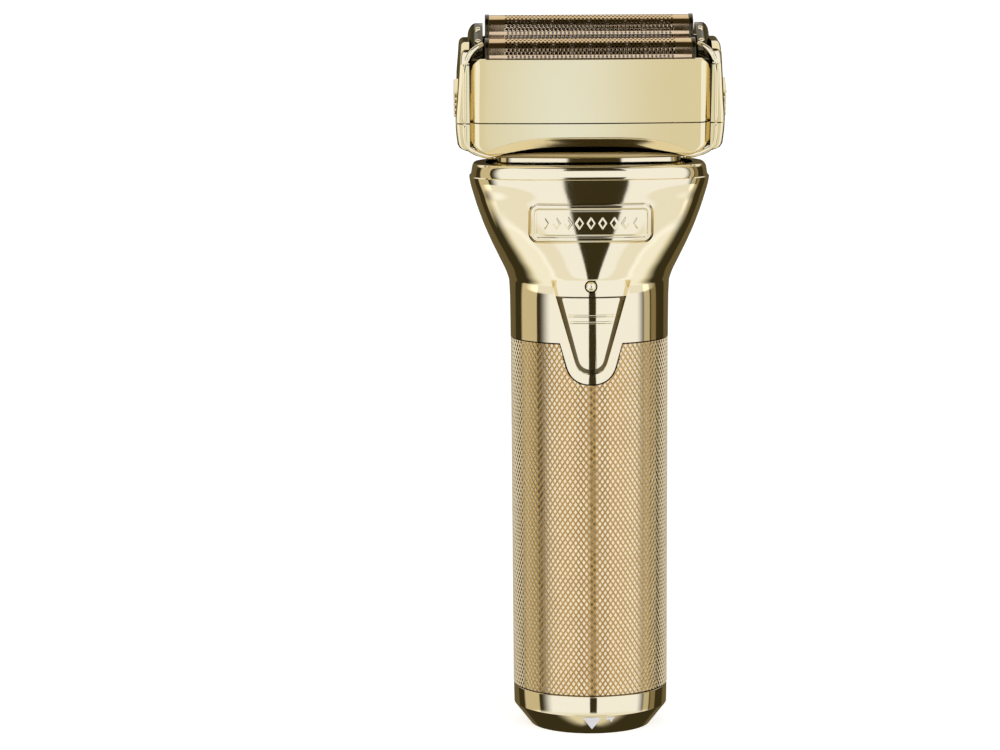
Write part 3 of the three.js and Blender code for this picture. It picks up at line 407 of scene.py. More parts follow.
GOLD = surface("gold_chrome", (0.86, 0.765, 0.52), (0.83, 0.72, 0.46), (0.035, 0.07), 1.0, 60, 0.015, 900)
LOOKS = {
    "gold_chrome": GOLD,
    "knurled_gold": surface("knurled_gold", (0.83, 0.705, 0.455), (0.77, 0.62, 0.375), (0.12, 0.2), 1.0, 240,
                            0.05, 5000),
    "gold_foil": surface("gold_foil", (0.74, 0.57, 0.33), (0.62, 0.43, 0.24), (0.06, 0.12), 1.0, 300, 0.03, 4000),
    "satin_gold": surface("satin_gold", (0.88, 0.79, 0.55), (0.84, 0.73, 0.48), (0.42, 0.52), 1.0, 200, 0.05, 3000),
    # A dark metal used only as painted shade on the floor of the switch's channel.
    "channel_shade_bronze": surface("channel_shade_bronze", (0.16, 0.125, 0.06), (0.11, 0.085, 0.04), (0.10, 0.2), 1.0, 300, 0.05,
                           3000),
    "steel": surface("satin_steel", (0.60, 0.61, 0.62), (0.50, 0.51, 0.53), (0.22, 0.38), 1.0, 400, 0.10, 3000,
                     (1, 1, 12)),
    "contact_copper": surface("contact_copper", (0.78, 0.48, 0.24), (0.66, 0.38, 0.18), (0.2, 0.36), 1.0, 300,
                              0.06),
    "black_plastic": surface("black_plastic", (0.018, 0.018, 0.02), (0.03, 0.03, 0.032), (0.38, 0.5), 0.0, 500,
                             0.25, 6000),
    "gloss_black": surface("gloss_black", (0.075, 0.06, 0.03), (0.055, 0.044, 0.022), (0.05, 0.10), 0.9, 200,
                           0.02, 900),
    "black_rubber": surface("black_rubber", (0.02, 0.02, 0.02), (0.032, 0.032, 0.032), (0.6, 0.8), 0.0, 700, 0.4,
                            5000),
    "cell_wrap": surface("cell_wrap", (0.02, 0.16, 0.62), (0.025, 0.20, 0.70), (0.2, 0.3), 0.0, 120, 0.03, 700,
                         coat=0.4),
    "circuit_green": surface("circuit_green", (0.02, 0.15, 0.07), (0.04, 0.24, 0.11), (0.28, 0.4), 0.0, 900, 0.3,
                             1500, (1, 1, 0.25)),
    "led_clear": surface("led_clear", (0.88, 0.80, 0.56), (0.85, 0.76, 0.50), (0.04, 0.09), 0.95, 200),
    "mark_white": surface("mark_white", (0.94, 0.90, 0.86), (0.88, 0.83, 0.78), (0.35, 0.5), 0.0, 800, 0.1, 4000),
}


# ---- handle -----------------------------------------------------------------------------------
def funnel(top_half, top, low_half, low, steps=14):
    """An outline with straight upper sides and a rounded foot."""
    shoulder = low + low_half * 0.75
    left = [(1 - t) ** 2 * np.array((-low_half, shoulder)) + 2 * t * (1 - t) * np.array((-0.8 * low_half, low))
            + t * t * np.array((0.0, low)) for t in np.linspace(0, 1, steps)]
    right = [np.array((-p[0], p[1])) for p in left[::-1]]
    return np.array([(-top_half, top)] + left + right[1:] + [(top_half, top)])


def rounded_rect(half, low, high, radius, steps=10):
    return fillet([(-half, low), (half, low), (half, high), (-half, high)], radius, steps)


def super_ring(half_x, half_y, squareness, z, count=288):
    angle = np.linspace(0, 2 * math.pi, count, endpoint=False)
    c, s = np.cos(angle), np.sin(angle)
    scale = (np.abs(c) ** squareness + np.abs(s) ** squareness) ** (-1 / squareness)
    return np.stack([half_x * c * scale, half_y * s * scale, np.full(count, z)], axis=1)


def housing_solid(offset, low, high):
    levels = [low] + [z for z in np.concatenate([
        np.linspace(81, 104, 8), np.linspace(104.4, 127.6, 56), np.linspace(127.7, 131.2, 36)]) if low < z < high]
    levels.append(high)
    rings = []
    for z in levels:
        w, d, n = curve(HOUSING_KEYS, z)[0]
        rings.append(super_ring(w + offset, d + offset, n, z))
    return loft(rings)


def band_ring(inner, outer, low, high):
    """A plain ring with a rectangular section."""
    return lathe([(inner, low), (outer, low), (outer, high), (inner, high)])


def facing_front(obj, y):
    """Lays a solid drawn along Z to point forwards, at the lamp's height."""
    return moved(obj, Matrix.Translation((0, y, LAMP_Z)) @ Matrix.Rotation(math.pi / 2, 4, "X"))


def make_housing():
    """The collar, flare and cylinder in one shell, with the switch's recess and the badge's pocket."""
    shell = cut(housing_solid(0, 80.0, 131.2), housing_solid(-HOUSING_WALL, 79.0, 132.0))
    allowed = join(block((-40, 40), (-40, 40), (HOUSING_LOW, 140)), prism(funnel(*TONGUE), *FRONT))
    keep(shell, allowed)
    recess = keep(band_ring(17.55, 24, 82, 107), prism(fillet(funnel(*RECESS), 0.3, 3), *FRONT))
    channel = keep(band_ring(16.55, 24, 82, 107), prism(funnel(*CHANNEL), *FRONT))
    stem = block((-1.5, 1.5), (-20, -14), (91.8, 98.2))
    lamp = facing_front(lathe([(0, 0), (1.45, 0), (1.45, 9), (0, 9)], 48), -12)
    pocket = cut(housing_solid(2, 112.5, 124.5), housing_solid(-1.0, 112.0, 125.0))
    keep(pocket, prism(rounded_rect(14.1, 113.8, 123.0, 2.3), *FRONT))
    cut(shell, recess, channel, stem, lamp, pocket)
    place(shell, "housing_shell", "handle", GOLD, ["upper_housing"], sharp=24)


def make_channel_shade():
    """A dark bronze skin on the floor of the channel in which the switch slides: painted shade, standing in for the
    shadow deep in the channel.
    """
    shade_skin = keep(band_ring(16.6, 16.95, 83, 103), prism(funnel(*CHANNEL_SHADE), *FRONT))
    cut(shade_skin, block((-1.4, 1.4), (-20, -14), (91.9, 98.1)))
    place(shade_skin, "switch_channel_shade", "handle", LOOKS["channel_shade_bronze"])


def make_badge():
    """A rounded plate with a raised border and a plain row of small diamonds."""
    half, low, high, corner = 13.8, 114.1, 122.7, 2.0
    xs, zs = np.linspace(-half, half, 277), np.linspace(low, high, 87)
    x, z = np.meshgrid(xs, zs)
    mid = (low + high) / 2
    qx = np.abs(x) - (half - corner)
    qz = np.abs(z - mid) - ((high - low) / 2 - corner)
    edge = corner - (np.hypot(np.maximum(qx, 0), np.maximum(qz, 0)) + np.minimum(np.maximum(qx, qz), 0))

    def step(value, a, b):
        t = np.clip((value - a) / (b - a), 0, 1)
        return t * t * (3 - 2 * t)

    height = 0.42 - 0.25 * (1 - step(edge, 0.0, 0.35))
    height -= 0.22 * step(edge, 0.95, 1.2)
    height += 0.10 * step(edge, 1.45, 1.7)
    pitch, tall, row_half = 2.6, 1.5, 10.6
    dx = np.abs((x + pitch / 2) % pitch - pitch / 2)
    dz = np.abs(z - mid) / tall
    mark = (1 - step(dx + dz, 0.6, 1.0)) * (np.abs(x) < row_half)
    height += 0.07 * mark
    keys = curve(HOUSING_KEYS, zs)
    w, d, n = keys[:, 0:1], keys[:, 1:2], keys[:, 2:3]

    def front(offset):
        return -(d + offset) * (1 - np.clip(np.abs(x) / (w + offset), 0, 1) ** n) ** (1 / n)

    rows, count = x.shape
    outer = np.stack([x, front(height), z], axis=2).reshape(-1, 3)
    inner = np.stack([x, front(-0.7), z], axis=2).reshape(-1, 3)
    faces = grid_faces(rows, count, closed=False) + grid_faces(rows, count, closed=False, offset=rows * count)
    border = grid_border(rows, count)
    total = rows * count
    faces += [(a, b, b + total, a + total) for a, b in zip(border, border[1:] + border[:1])]
    plate = solid(np.concatenate([outer, inner]), faces)
    keep(plate, prism(rounded_rect(half - 0.02, low + 0.02, high - 0.02, corner, 14), *FRONT))
    place(plate, "badge_plate", "handle", GOLD, ["name_badge"], sharp=40)


def make_slider():
    """The switch's plate with two ridges across it and a stem behind."""
    outline = fillet(funnel(*SLIDER), 0.3, 3)
    plate = keep(band_ring(17.6, 18.25, 84, 103), prism(outline, *FRONT))
    bevel(plate, 0.12, 2, 40)
    ridges = []
    for z, half in ((97.3, 5.2), (95.8, 4.9)):
        bar = bevel(band_ring(17.9, 18.62, z - 0.3, z + 0.3), 0.2, 3)
        ridges.append(keep(bar, block((-half, half), (-30, 0), (90, 100))))
    join(plate, *ridges, block((-1.1, 1.1), (-17.8, -15.9), (93.2, 96.2)))
    place(plate, "slider_plate", "power_switch", GOLD, ["switch_slider"], sharp=12)


def make_lamp():
    lens = facing_front(lathe(domed(1.2, 2.2, 0.7, 0.15, 9), 64), -15.3)
    place(lens, "lamp_lens", "handle", LOOKS["led_clear"], ["led_lens"])


def make_ring():
    """The end ring, with its chamfer, the groove for the cap's lugs and their three ways in."""
    profile = fillet([(12.5, 0), (13.8, 0), (17.75, 5.0), (17.85, RING_TOP), (16.3, RING_TOP), (16.3, 13.0),
                      (14.3, 13.0), (14.3, 7.2), (12.5, 7.2), (12.5, 4.7), (13.35, 4.7), (13.35, 2.2), (12.5, 2.2)],
                     [0.1, 0.25, 0.35, 0.3, 0.1, 0.1, 0.1, 0, 0, 0, 0, 0, 0], 4)
    ring = lathe(profile, 288)
    for k in range(3):
        wedge = [(11.5, -3.1), (13.35, -3.5), (13.35, 3.5), (11.5, 3.1)]
        cut(ring, turned(prism(wedge, "z", -1, 2.4), 90 + 120 * k))
    place(ring, "end_ring", "handle", GOLD, ["lower_ring"])


def make_marks():
    """A white pointer and a small slanted mark, each a thin skin on the chamfer."""
    shapes = {
        "pointer_mark": [(-2.15, 4.5), (2.15, 4.5), (0.0, 1.2)],
        "lock_mark": [(3.4, 4.55), (5.3, 4.55), (4.8, 3.9), (4.4, 2.9), (4.1, 3.9), (3.2, 3.9)],
    }
    for name, points in shapes.items():
        outline = fillet(points, 0.12, 3)
        skin = lathe([(13.75, 0.0), (17.70, 5.0), (17.78, 5.0), (13.83, 0.0)], 512)
        keep(skin, prism(outline, *FRONT))
        place(skin, name, "handle", LOOKS["mark_white"])


def make_battery():
    """The round battery pack, its wrapped cell and the twist-lock cap, which show when they are drawn out."""
    inner, outer, low, shelf, high = 10.9, 12.1, 6.7, 78.0, 79.5
    sleeve = lathe([(inner, low), (outer, low), (outer, high), (3.0, high), (3.0, shelf), (inner, shelf)])
    for turn in (35, 145, 215, 325):
        cut(sleeve, turned(block((8, 16), (-4.2, 4.2), (16, 68)), turn))
    place(bevel(sleeve, 0.25, 2, 40), "pack_sleeve", "battery_pack", LOOKS["black_plastic"],
          ["battery_sleeve"])
    cell = lathe(fillet([(0, 7.3), (10.6, 7.3), (10.6, 77.3), (0, 77.3)], [0, 0.8, 0.8, 0], 4))
    place(cell, "wrapped_cell", "battery_pack", LOOKS["cell_wrap"], ["battery_cell"])
    cap = lathe(fillet([(0, 1.8), (10.4, 1.8), (10.4, 0), (outer, 0), (outer, 4.9), (0, 4.9)],
                       [0, 0.3, 0.3, 0.4, 0.3, 0], 4))
    join(cap, bevel(block((-10.6, 10.6), (-2.2, 2.2), (0, 2.4)), 0.4, 3))
    for turn in (90, 210, 330):
        lug = keep(band_ring(11.1, 13.0, 2.5, 4.4), block((8, 16), (-2.7, 2.7), (0, 6)))
        join(cap, turned(lug, turn))
    place(cap, "twist_cap", "battery_lock", GOLD, ["battery_cap"])


def make_knurl():
    """Flat-topped diamonds between two families of crossed grooves."""
    around, pitch = 92, 1.77
    rows = int((SLEEVE_TOP - SLEEVE_LOW) / (pitch / 2)) + 5
    start = SLEEVE_LOW - pitch
    flat, depth, core = 0.64, 0.36, 16.0

    def point(x, row, inset):
        angle = 2 * math.pi * x / around
        z = start + row * pitch / 2
        share = (z - SLEEVE_LOW) / (SLEEVE_TOP - SLEEVE_LOW)
        r = SLEEVE_R_LOW + (SLEEVE_R_HIGH - SLEEVE_R_LOW) * share - inset
        return (r * math.cos(angle), r * math.sin(angle), z)

    verts, faces = [], []
    for row in range(rows + 1):
        shift = 0.5 * ((row + 1) % 2)
        verts += [point(k + shift, row, depth) for k in range(around)]

    def groove(k, row):
        return row * around + k % around

    for row in range(1, rows):
        odd = row % 2
        for i in range(around):
            centre = i + 0.5 * odd
            left, right = (groove(i, row), groove(i + 1, row)) if odd else (groove(i - 1, row), groove(i, row))
            low, high = groove(i, row - 1), groove(i, row + 1)
            n = len(verts)
            verts += [point(centre - 0.5 * flat, row, 0), point(centre, row - flat, 0),
                      point(centre + 0.5 * flat, row, 0), point(centre, row + flat, 0)]
            faces += [(n, n + 1, n + 2, n + 3), (left, low, n + 1, n), (low, right, n + 2, n + 1),
                      (right, high, n + 3, n + 2), (high, left, n, n + 3)]
    for row, other in ((0, 1), (rows, rows - 1)):
        odd = row % 2
        for i in range(around):
            left, right = (groove(i, row), groove(i + 1, row)) if odd else (groove(i - 1, row), groove(i, row))
            faces.append((left, right, groove(i, other)))
    base = len(verts)
    for row in (0, rows):
        shift = 0.5 * ((row + 1) % 2)
        for k in range(around):
            x, y, z = point(k + shift, row, 0)
            scale = core / math.hypot(x, y)
            verts.append((x * scale, y * scale, z))
    for k in range(around):
        n = (k + 1) % around
        faces += [(groove(k, 0), groove(n, 0), base + n, base + k),
                  (groove(k, rows), groove(n, rows), base + around + n, base + around + k),
                  (base + k, base + n, base + around + n, base + around + k)]
    sleeve = solid(verts, faces)
    region = band_ring(SLEEVE_BORE, 19, SLEEVE_LOW, SLEEVE_TOP)
    cut(region, prism(funnel(*SLEEVE_NOTCH), *FRONT))
    keep(sleeve, region)
    place(sleeve, "knurled_sleeve", "handle", LOOKS["knurled_gold"], ["grip_sleeve"], sharp=12)


# ---- head -------------------------------------------------------------------------------------
def core_ring(w):
    """The head's rounded outline at one height, with slightly crowned front and back faces."""
    low = np.array([[-2.2, 21.4, 11.6], [-2.0, 22.6, 12.3], [-1.6, 24.2, 12.7], [-1.0, 25.5, 12.9], [0.0, 26.6, 13.0],
                    [1.4, 27.4, 13.0], [26.0, 27.0, 13.0]])
    scale_u, scale_v = curve(low, w)[0]
    hu, hv = CORE_HALF_U * scale_u / low[-2, 1], HEAD_DEPTH * scale_v / low[-1, 2]
    corner = CORE_CORNER
    points = []
    for t in np.linspace(-1, 1, 49)[:-1]:
        points.append((t * (hu - corner), -hv))
    for t in np.linspace(-math.pi / 2, 0, 13)[:-1]:
        points.append((hu - corner + corner * math.cos(t), -hv + corner + corner * math.sin(t)))
    for t in np.linspace(-1, 1, 17)[:-1]:
        points.append((hu, t * (hv - corner)))
    for t in np.linspace(0, math.pi / 2, 13)[:-1]:
        points.append((hu - corner + corner * math.cos(t), hv - corner + corner * math.sin(t)))
    half = np.array(points)
    ring = np.vstack([half, -half])
    side = np.clip(np.abs(ring[:, 0]) / (hu - corner), 0, 1)
    ring[:, 1] -= np.sign(ring[:, 1]) * np.where(np.abs(ring[:, 1]) > hv - corner, CORE_CROWN * side**2, 0)
    return np.column_stack([ring, np.full(len(ring), float(w))])


def core_solid():
    levels = [-2.2, -2.15, -2.1, -2.0, -1.9, -1.75, -1.6, -1.4, -1.2, -1.0, -0.7, -0.4,
              0, 0.5, 1, 1.5, 2.5, 4, 7, 10, 13, 17, 21, 26]
    return loft([core_ring(w) for w in levels])


def cavity(low, high):
    return prism(fillet([(-CAVITY_HALF_U, -CAVITY_HALF_V), (CAVITY_HALF_U, -CAVITY_HALF_V),
                         (CAVITY_HALF_U, CAVITY_HALF_V), (-CAVITY_HALF_U, CAVITY_HALF_V)], 1.6), "z", low, high)


def beyond(front, above):
    """Everything on one side of a plane that falls towards the back of the head."""
    reach = 60
    tool = block((-reach, reach), (-reach, reach), (0, reach) if above else (-reach, 0))
    turn = Matrix.Rotation(-math.atan(PLANE_FALL), 4, "X")
    return moved(tool, Matrix.Translation((0, 0, front - PLANE_FALL * HEAD_DEPTH)) @ turn)


def cheek_solid():
    """The domed side plate of the head, on the right."""
    outline = fillet([(-12.7, 0.4), (-11.6, -0.75), (11.6, -0.75), (12.7, 0.4), (12.7, 15.6), (11.2, 17.4),
                      (-6.6, 24.6), (-11.0, 24.5), (-12.7, 22.4)], [1.0, 1.2, 1.2, 1.0, 2.0, 2.0, 5.0, 2.4, 2.4], 7)
    dense = []
    for a, b in zip(outline, np.roll(outline, -1, axis=0)):
        count = max(1, int(np.linalg.norm(b - a) / 0.7))
        dense += [a + (b - a) * k / count for k in range(count)]
    outline = np.array(dense)
    ahead, back = np.roll(outline, -1, axis=0), np.roll(outline, 1, axis=0)
    along = ahead - back
    along /= np.linalg.norm(along, axis=1)[:, None]
    inward = np.column_stack([-along[:, 1], along[:, 0]])
    rings = []
    root = 27.2

    def ring(flat, drop):
        u = curve(HEAD_KEYS, flat[:, 1])[:, 0] - drop
        return np.column_stack([np.maximum(u, root + 0.1), flat])

    rings.append(np.column_stack([np.full(len(outline), root), outline]))
    radius = 1.1
    for t in np.linspace(0, math.pi / 2, 9):
        rings.append(ring(outline + inward * radius * (1 - math.cos(t)), radius * (1 - math.sin(t))))
    inner = outline + inward * radius
    centre = inner.mean(0)
    for share in (0.15, 0.35, 0.6, 0.85):
        rings.append(ring(inner + (centre - inner) * share, 0))
    return loft(rings)


def make_head():
    """The shells, cheeks and rims of the cassette and of the base, parted along the falling seam."""
    rim_out, rim_radius = 0.25, 0.6
    for upper in (False, True):
        gap = 0.15 if upper else -0.15
        shell = core_solid()
        cut(shell, beyond(SEAM_FRONT + gap, not upper), cavity(-0.6, 40))
        if upper:
            cut(shell, beyond(RIM_FRONT, True))
            for sign in (-1, 1):
                corner = [(22.6, 26), (30, 26), (30, 19.2), (27.4, 19.2)]
                corner += [(23.4 + 3.2 * math.cos(t), 19.9 + 3.2 * math.sin(t))
                           for t in np.linspace(0, math.pi / 2, 14)]
                cut(shell, prism([(sign * a, b) for a, b in corner], "y", -20, 20))
                cut(shell, block((26, 30) if sign > 0 else (-30, -26), *BUTTON_WINDOW))
        else:
            for low, high in ((-9.4, -4.3), (4.2, 8.9)):
                cut(shell, block((-4.0, 4.0), (low, high), (-5, 0)))
        name, body, node = (("cassette_shell", "cassette", "foil_cassette") if upper
                            else ("base_shell", "handle", "head_base"))
        place(shell, name, body, GOLD, [node], head=True, sharp=28)
        for label, sign in (("left", -1), ("right", 1)):
            cheek = cut(cheek_solid(), beyond(SEAM_FRONT + gap, not upper))
            if upper:
                cut(cheek, block((26, 34), *BUTTON_WINDOW))
                path = [(28.1, -12.3, 7.9), (28.1, -12.35, 14), (27.95, -12.3, 20.2), (27.4, -11.9, 22.8),
                        (26.4, -11.0, 24.2), (25.2, -9.8, 24.7), (24.2, -8.6, 24.8)]
            else:
                path = [(28.1, -12.3, 6.6), (28.1, -12.3, 3.4), (27.6, -12.2, 1.2), (26.4, -12.0, -0.1),
                        (25.0, -11.9, -0.9), (23.2, -11.8, -1.5), (21.4, -11.7, -1.7)]
            rim = sweep(path_through([(u + rim_out, v, w) for u, v, w in path]), rim_radius)
            if sign < 0:
                mirrored(cheek)
                mirrored(rim)
            half = "upper" if upper else "lower"
            place(cheek, f"cheek_{half}_{label}", body, GOLD, head=True, sharp=35)
            place(rim, f"rim_{half}_{label}", body, GOLD, head=True)


def oval_bar(oval, levels):
    return loft([super_ring(*oval, z, 240) for z in levels])


def make_neck():
    """The hollow oval neck under the head, with a flange that the collar holds."""
    neck = cut(oval_bar(NECK_OVAL, np.linspace(126.0, 146.0, 9)), moved(core_solid(), TO_WORLD))
    join(neck, oval_bar(FLANGE_OVAL, (124.0, 126.05)))
    cut(neck, oval_bar(NECK_BORE, (120.0, 150.0)))
    place(neck, "neck_shell", "handle", GOLD, ["head_neck"])


def make_shoulder():
    """The satin ledge between the neck and the collar, laid over the gasket."""
    ledge = cut(oval_bar(LEDGE_OVAL, (128.1, 128.9)), oval_bar(LEDGE_HOLE, (127.0, 130.0)))
    place(bevel(ledge, 0.2, 2), "collar_shoulder", "handle", LOOKS["satin_gold"])


def make_end_blocks():
    """The glossy blocks at the ends of the foils, each with three bright pins."""
    profile = fillet([(-11, 13.6), (11, 13.6), (11, 18.2), (8.2, 22.6), (4.4, 23.4), (-5.6, 23.4), (-9.8, 22.6),
                      (-11, 19.0)],
                     [0.3, 0.3, 2.0, 4.0, 3.0, 3.0, 3.0, 1.5], 9)
    face = [(24.2, 12.6), (27.7, 12.6)] + [(23.9 + 3.8 * math.cos(t), 17.6 + 5.8 * math.sin(t))
                                            for t in np.linspace(0, math.pi / 2 - 0.08, 26)]
    for label, sign in (("left", -1), ("right", 1)):
        piece = keep(prism(profile, "x", 24.2, 27.8), prism(face, "y", -15, 15))
        pins = []
        for v, w in ((-8.9, 19.4), (-3.2, 22.6), (3.2, 22.6)):
            tilt = 0.0 if w > 22 else 0.9
            spot = Matrix.Translation((25.2, v, w)) @ Matrix.Rotation(tilt, 4, "X")
            pins.append(moved(lathe(domed(0.75, 0.5, 0.5, 0.2, 7), 32), spot))
        if sign < 0:
            mirrored(piece)
        place(piece, f"glossy_block_{label}", "cassette", LOOKS["gloss_black"],
              [f"end_block_{label}"], head=True, sharp=32)
        for k, pin in enumerate(pins):
            if sign < 0:
                mirrored(pin)
            place(pin, f"block_pin_{label}_{k + 1}", "cassette", GOLD, head=True)


def make_buttons():
    """The release buttons in the cheeks, each with five ribs."""
    low, high, pitch = 6.2, 13.2, 1.4
    for label, sign in (("left", -1), ("right", 1)):
        button = bevel(block((28.9, 30.0), (-8.6, -0.6), (low, high)), 0.35, 3)
        for k in range(5):
            w = low + (k + 0.5) * pitch
            join(button, bevel(block((29.6, 30.85), (-8.2, -1.0), (w - 0.35, w + 0.35)), 0.25, 3))
        if sign < 0:
            mirrored(button)
        place(button, f"ribbed_button_{label}", f"button_{label}", GOLD,
              [f"release_button_{label}"], head=True)


# ---- foils ------------------------------------------------------------------------------------
def arch(v, radius, s):
    """The point at arc length s along the foil's section, with s = 0 at the crest."""
    quarter = radius * math.pi / 2
    s = np.asarray(s, float) * radius / FOIL_R
    angle = np.clip(s, -quarter, quarter) / radius
    leg = np.maximum(np.abs(s) - quarter, 0) * FOIL_R / radius
    return v + radius * np.sin(angle), FOIL_W + radius * np.cos(angle) - leg


def foil_mesh(v):
    """A thin arched sheet with a staggered grid of six-sided holes, and plain margins."""
    pitch, hole, thick = 0.92, 0.30, 0.14
    holed_half, margin = 19.4, 1.4
    columns = 2 * int(2 * holed_half / pitch)
    reach_x = FOIL_HALF + 0.28
    xs = np.concatenate([[-reach_x], (np.arange(columns + 1) - columns / 2) * pitch / 2, [reach_x]])
    reach = FOIL_R * math.pi / 2 + (FOIL_W - FOIL_SKIRT)
    holed = int(2 * (reach - margin) / (pitch * 0.86))
    spacing = 2 * (reach - margin) / holed
    ss = np.concatenate([[-reach], (np.arange(holed + 1) - holed / 2) * spacing, [reach]])
    width, rows = len(xs), len(ss)
    flat = [(x, s) for s in ss for x in xs]
    faces, holes = [], []

    def at(i, j):
        return j * width + i

    for j in range(rows - 1):
        plain = j == 0 or j == rows - 2
        shift = j % 2
        i = 0
        while i < width - 1:
            cell = not plain and i >= 1 + shift and (i - 1 - shift) % 2 == 0 and i + 2 <= width - 2
            if not cell:
                faces.append((at(i, j), at(i + 1, j), at(i + 1, j + 1), at(i, j + 1)))
                i += 1
                continue
            outline = [at(i, j), at(i + 1, j), at(i + 2, j), at(i + 2, j + 1), at(i + 1, j + 1), at(i, j + 1)]
            middle = (xs[i + 1], (ss[j] + ss[j + 1]) / 2)
            base = len(flat)
            for degrees in (210, 270, 330, 30, 90, 150):
                t = math.radians(degrees)
                flat.append((middle[0] + hole * math.cos(t), middle[1] + hole * math.sin(t)))
            ring = list(range(base, base + 6))
            faces += [(outline[k], outline[(k + 1) % 6], ring[(k + 1) % 6], ring[k]) for k in range(6)]
            holes.append(ring)
            i += 2
    flat = np.array(flat)
    layers = []
    for radius in (FOIL_R, FOIL_R - thick):
        across, up = arch(v, radius, flat[:, 1])
        layers.append(np.column_stack([flat[:, 0], across, up]))
    n = len(flat)
    border = grid_border(rows, width)
    sides = [(a, b, b + n, a + n) for loop in [border, *holes] for a, b in zip(loop, loop[1:] + loop[:1])]
    faces = faces + [tuple(i + n for i in f[::-1]) for f in faces] + sides
    return solid(np.concatenate(layers), faces)


def arch_outline(v, radius, low, steps=40):
    top = [(v + radius * math.cos(t), FOIL_W + radius * math.sin(t)) for t in np.linspace(0, math.pi, steps)]
    return [(v - radius, low), (v + radius, low)] + top


def make_foils():
    for label, v in (("front", -FOIL_V), ("rear", FOIL_V)):
        body = f"foil_unit_{label}"
        place(foil_mesh(v), f"foil_sheet_{label}", body, LOOKS["gold_foil"], [f"foil_{label}"],
              head=True, sharp=35)
        for hand, sign in (("left", -1), ("right", 1)):
            plate = bevel(prism(arch_outline(v, 5.15, 14.5), "x", 22.7, 23.7), 0.16, 3, 50)
            if sign < 0:
                mirrored(plate)
            place(plate, f"foil_cap_{label}_{hand}", body, LOOKS["gloss_black"],
                  [f"foil_end_{label}_{hand}"], head=True)


# ---- the CAD nodes that stay ------------------------------------------------------------------
def dress_nodes():
    slots = {s["node"]: s["material_slot"] for s in frame["record"]["subparts"]}
    for name, obj in frame["nodes"].items():
        if obj.hide_render:
            continue
        obj.data.materials.clear()
        obj.data.materials.append(LOOKS[slots[name]])


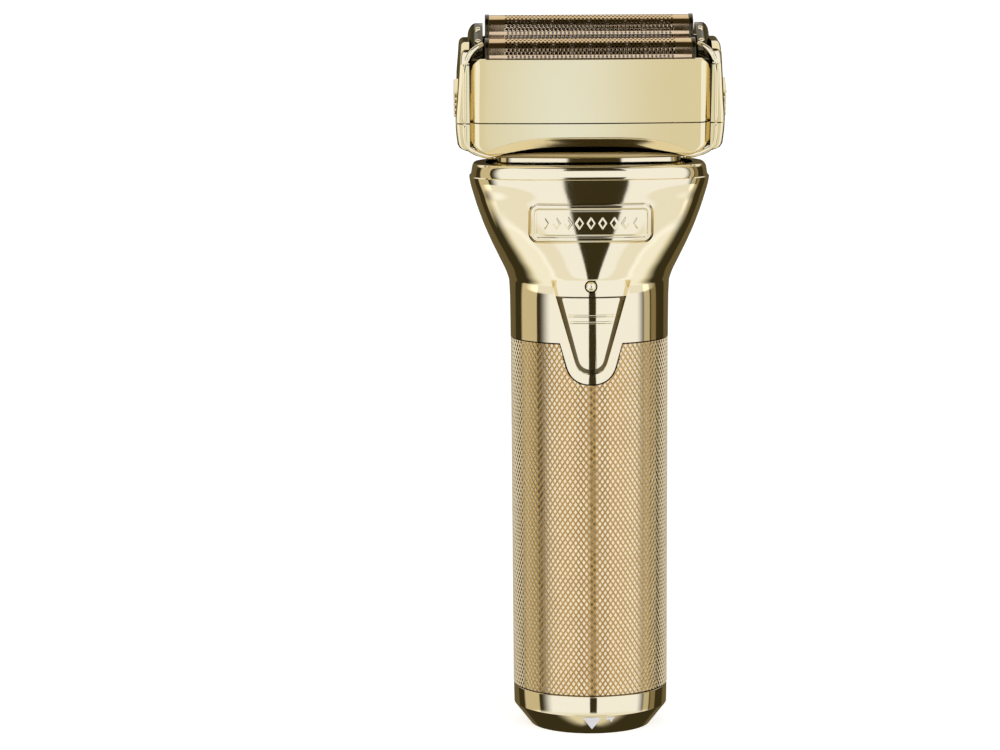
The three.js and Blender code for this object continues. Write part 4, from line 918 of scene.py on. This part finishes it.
# ---- studio -----------------------------------------------------------------------------------
def make_world():
    """Softboxes as soft-edged bands of the sky, in degrees of azimuth from the front and of elevation.

    Two large ones in front have a narrow gap between them. Round them are side strips, an overhead light
    behind and a low bounce. A band is its low and high edge and how soft each edge is.
    """
    world = bpy.data.worlds.new("studio")
    bpy.context.scene.world = world
    world.use_nodes = True
    tree = world.node_tree
    nodes = tree.nodes
    nodes.clear()

    def maths(operation, a, b=None):
        n = nodes.new("ShaderNodeMath")
        n.operation = operation
        for slot_index, value in enumerate((a, b)):
            if value is None:
                continue
            if isinstance(value, (int, float)):
                n.inputs[slot_index].default_value = value
            else:
                link(tree, value, n.inputs[slot_index])
        return n.outputs[0]

    def ramp(value, low, high):
        n = nodes.new("ShaderNodeMapRange")
        n.interpolation_type = "SMOOTHSTEP"
        n.inputs["From Min"].default_value = low
        n.inputs["From Max"].default_value = high
        link(tree, value, n.inputs["Value"])
        return n.outputs["Result"]

    coordinates = nodes.new("ShaderNodeTexCoord")
    split = nodes.new("ShaderNodeSeparateXYZ")
    link(tree, coordinates.outputs["Generated"], split.inputs[0])
    x, y, z = split.outputs
    degrees = 180 / math.pi
    azimuth = maths("MULTIPLY", maths("ARCTAN2", x, maths("MULTIPLY", y, -1.0)), degrees)
    elevation = maths("MULTIPLY", maths("ARCSINE", z), degrees)
    behind = maths("ABSOLUTE", azimuth)

    def band(value, low, high, soft_low, soft_high):
        rise = ramp(value, low - soft_low, low + soft_low)
        fall = maths("SUBTRACT", 1.0, ramp(value, high - soft_high, high + soft_high))
        return maths("MULTIPLY", rise, fall)

    total = None
    for across, a, up, e, colour in (
        (azimuth, (-69, -2, 11, 0.6), elevation, (-17.5, 66, 1.0, 6), (1.02, 1.08, 1.32)),
        (azimuth, (8.5, 80, 0.6, 9), elevation, (-17.5, 66, 1.0, 6), (1.02, 1.08, 1.32)),
        (azimuth, (-2, 8.5, 0.6, 0.6), elevation, (14, 29, 2, 1.5), (1.02, 1.08, 1.32)),
        (behind, (34, 88, 4, 10), elevation, (-66, -28, 4, 2), (0.24, 0.30, 0.50)),
        (azimuth, (-118, -84, 3, 1.0), elevation, (-25, 60, 3, 6), (0.62, 0.56, 0.42)),
        (azimuth, (86, 98, 1.5, 1.5), elevation, (-25, 60, 3, 6), (0.55, 0.50, 0.38)),
        (azimuth, (101, 113, 1, 1), elevation, (-25, 60, 3, 6), (0.22, 0.18, 0.10)),
        (behind, (120, 181, 12, 0.5), elevation, (20, 72, 5, 6), (0.95, 0.92, 0.86)),
        (behind, (138, 176, 2, 4), elevation, (-30, 20, 4, 4), (0.10, 0.08, 0.04)),
        (behind, (-1, 100, 0.5, 14), elevation, (-30, -17.5, 2, 1.0), (0.92, 0.94, 1.0)),
        (behind, (-1, 100, 0.5, 14), elevation, (-86, -44, 3, 2), (0.78, 0.76, 0.66)),
        (behind, (26, 100, 3, 14), elevation, (-44, -30, 2, 2), (0.78, 0.76, 0.66)),
        (behind, (-1, 5, 0.5, 5), elevation, (-78, -38, 5, 5), (0.10, 0.20, 0.42)),
    ):
        mask = maths("MULTIPLY", band(across, *a), band(up, *e))
        tint = nodes.new("ShaderNodeVectorMath")
        tint.operation = "SCALE"
        tint.inputs[0].default_value = colour
        link(tree, mask, tint.inputs["Scale"])
        if total is None:
            total = tint.outputs[0]
            continue
        add = nodes.new("ShaderNodeVectorMath")
        add.operation = "ADD"
        link(tree, total, add.inputs[0])
        link(tree, tint.outputs[0], add.inputs[1])
        total = add.outputs[0]
    base = nodes.new("ShaderNodeVectorMath")
    base.operation = "ADD"
    base.inputs[1].default_value = (0.045, 0.036, 0.016)
    link(tree, total, base.inputs[0])
    rays = nodes.new("ShaderNodeLightPath")
    choose = nodes.new("ShaderNodeMix")
    choose.data_type = "RGBA"
    choose.inputs["B"].default_value = (1.0, 1.0, 0.995, 1)
    link(tree, base.outputs[0], choose.inputs["A"])
    link(tree, rays.outputs["Is Camera Ray"], choose.inputs["Factor"])
    background = nodes.new("ShaderNodeBackground")
    link(tree, choose.outputs["Result"], background.inputs["Color"])
    output = nodes.new("ShaderNodeOutputWorld")
    link(tree, background.outputs[0], output.inputs["Surface"])


def make_floor():
    """A pale floor that the mirror finish doesn't pick up."""
    mesh = bpy.data.meshes.new("floor")
    reach = 40.0
    corners = [(-reach, -reach, 0), (reach, -reach, 0), (reach, reach, 0), (-reach, reach, 0)]
    mesh.from_pydata(corners, [], [(0, 1, 2, 3)])
    floor = bpy.data.objects.new("floor", mesh)
    bpy.context.scene.collection.objects.link(floor)
    floor.location.z = CAD_BOX[0][2]
    look = surface("pale_floor", (0.86, 0.86, 0.85), (0.84, 0.84, 0.83), (0.7, 0.85), 0.0, 6)
    shader = look.node_tree.nodes["Principled BSDF"]
    shader.inputs["Emission Color"].default_value = (1, 1, 0.99, 1)
    shader.inputs["Emission Strength"].default_value = 0.55
    mesh.materials.append(look)
    floor.visible_glossy = False
    floor.visible_diffuse = False


def make_camera():
    data = bpy.data.cameras.new("camera")
    data.sensor_width = 36.0
    data.lens = 125.2
    data.clip_start = 0.01
    data.clip_end = 100.0
    camera = bpy.data.objects.new("camera", data)
    bpy.context.scene.collection.objects.link(camera)
    pitch, roll = math.radians(90 - 7), math.radians(-0.34)
    eye = Matrix.Translation((-0.0207, -0.800, 0.180))
    camera.matrix_world = eye @ Matrix.Rotation(pitch, 4, "X") @ Matrix.Rotation(roll, 4, "Z")
    bpy.context.scene.camera = camera


make_camera()
make_world()
make_floor()
make_ring()
make_marks()
make_knurl()
make_battery()
make_housing()
make_channel_shade()
make_badge()
make_slider()
make_lamp()
make_neck()
make_shoulder()
make_head()
make_end_blocks()
make_buttons()
make_foils()
dress_nodes()
bpy.context.scene.view_settings.view_transform = "Standard"
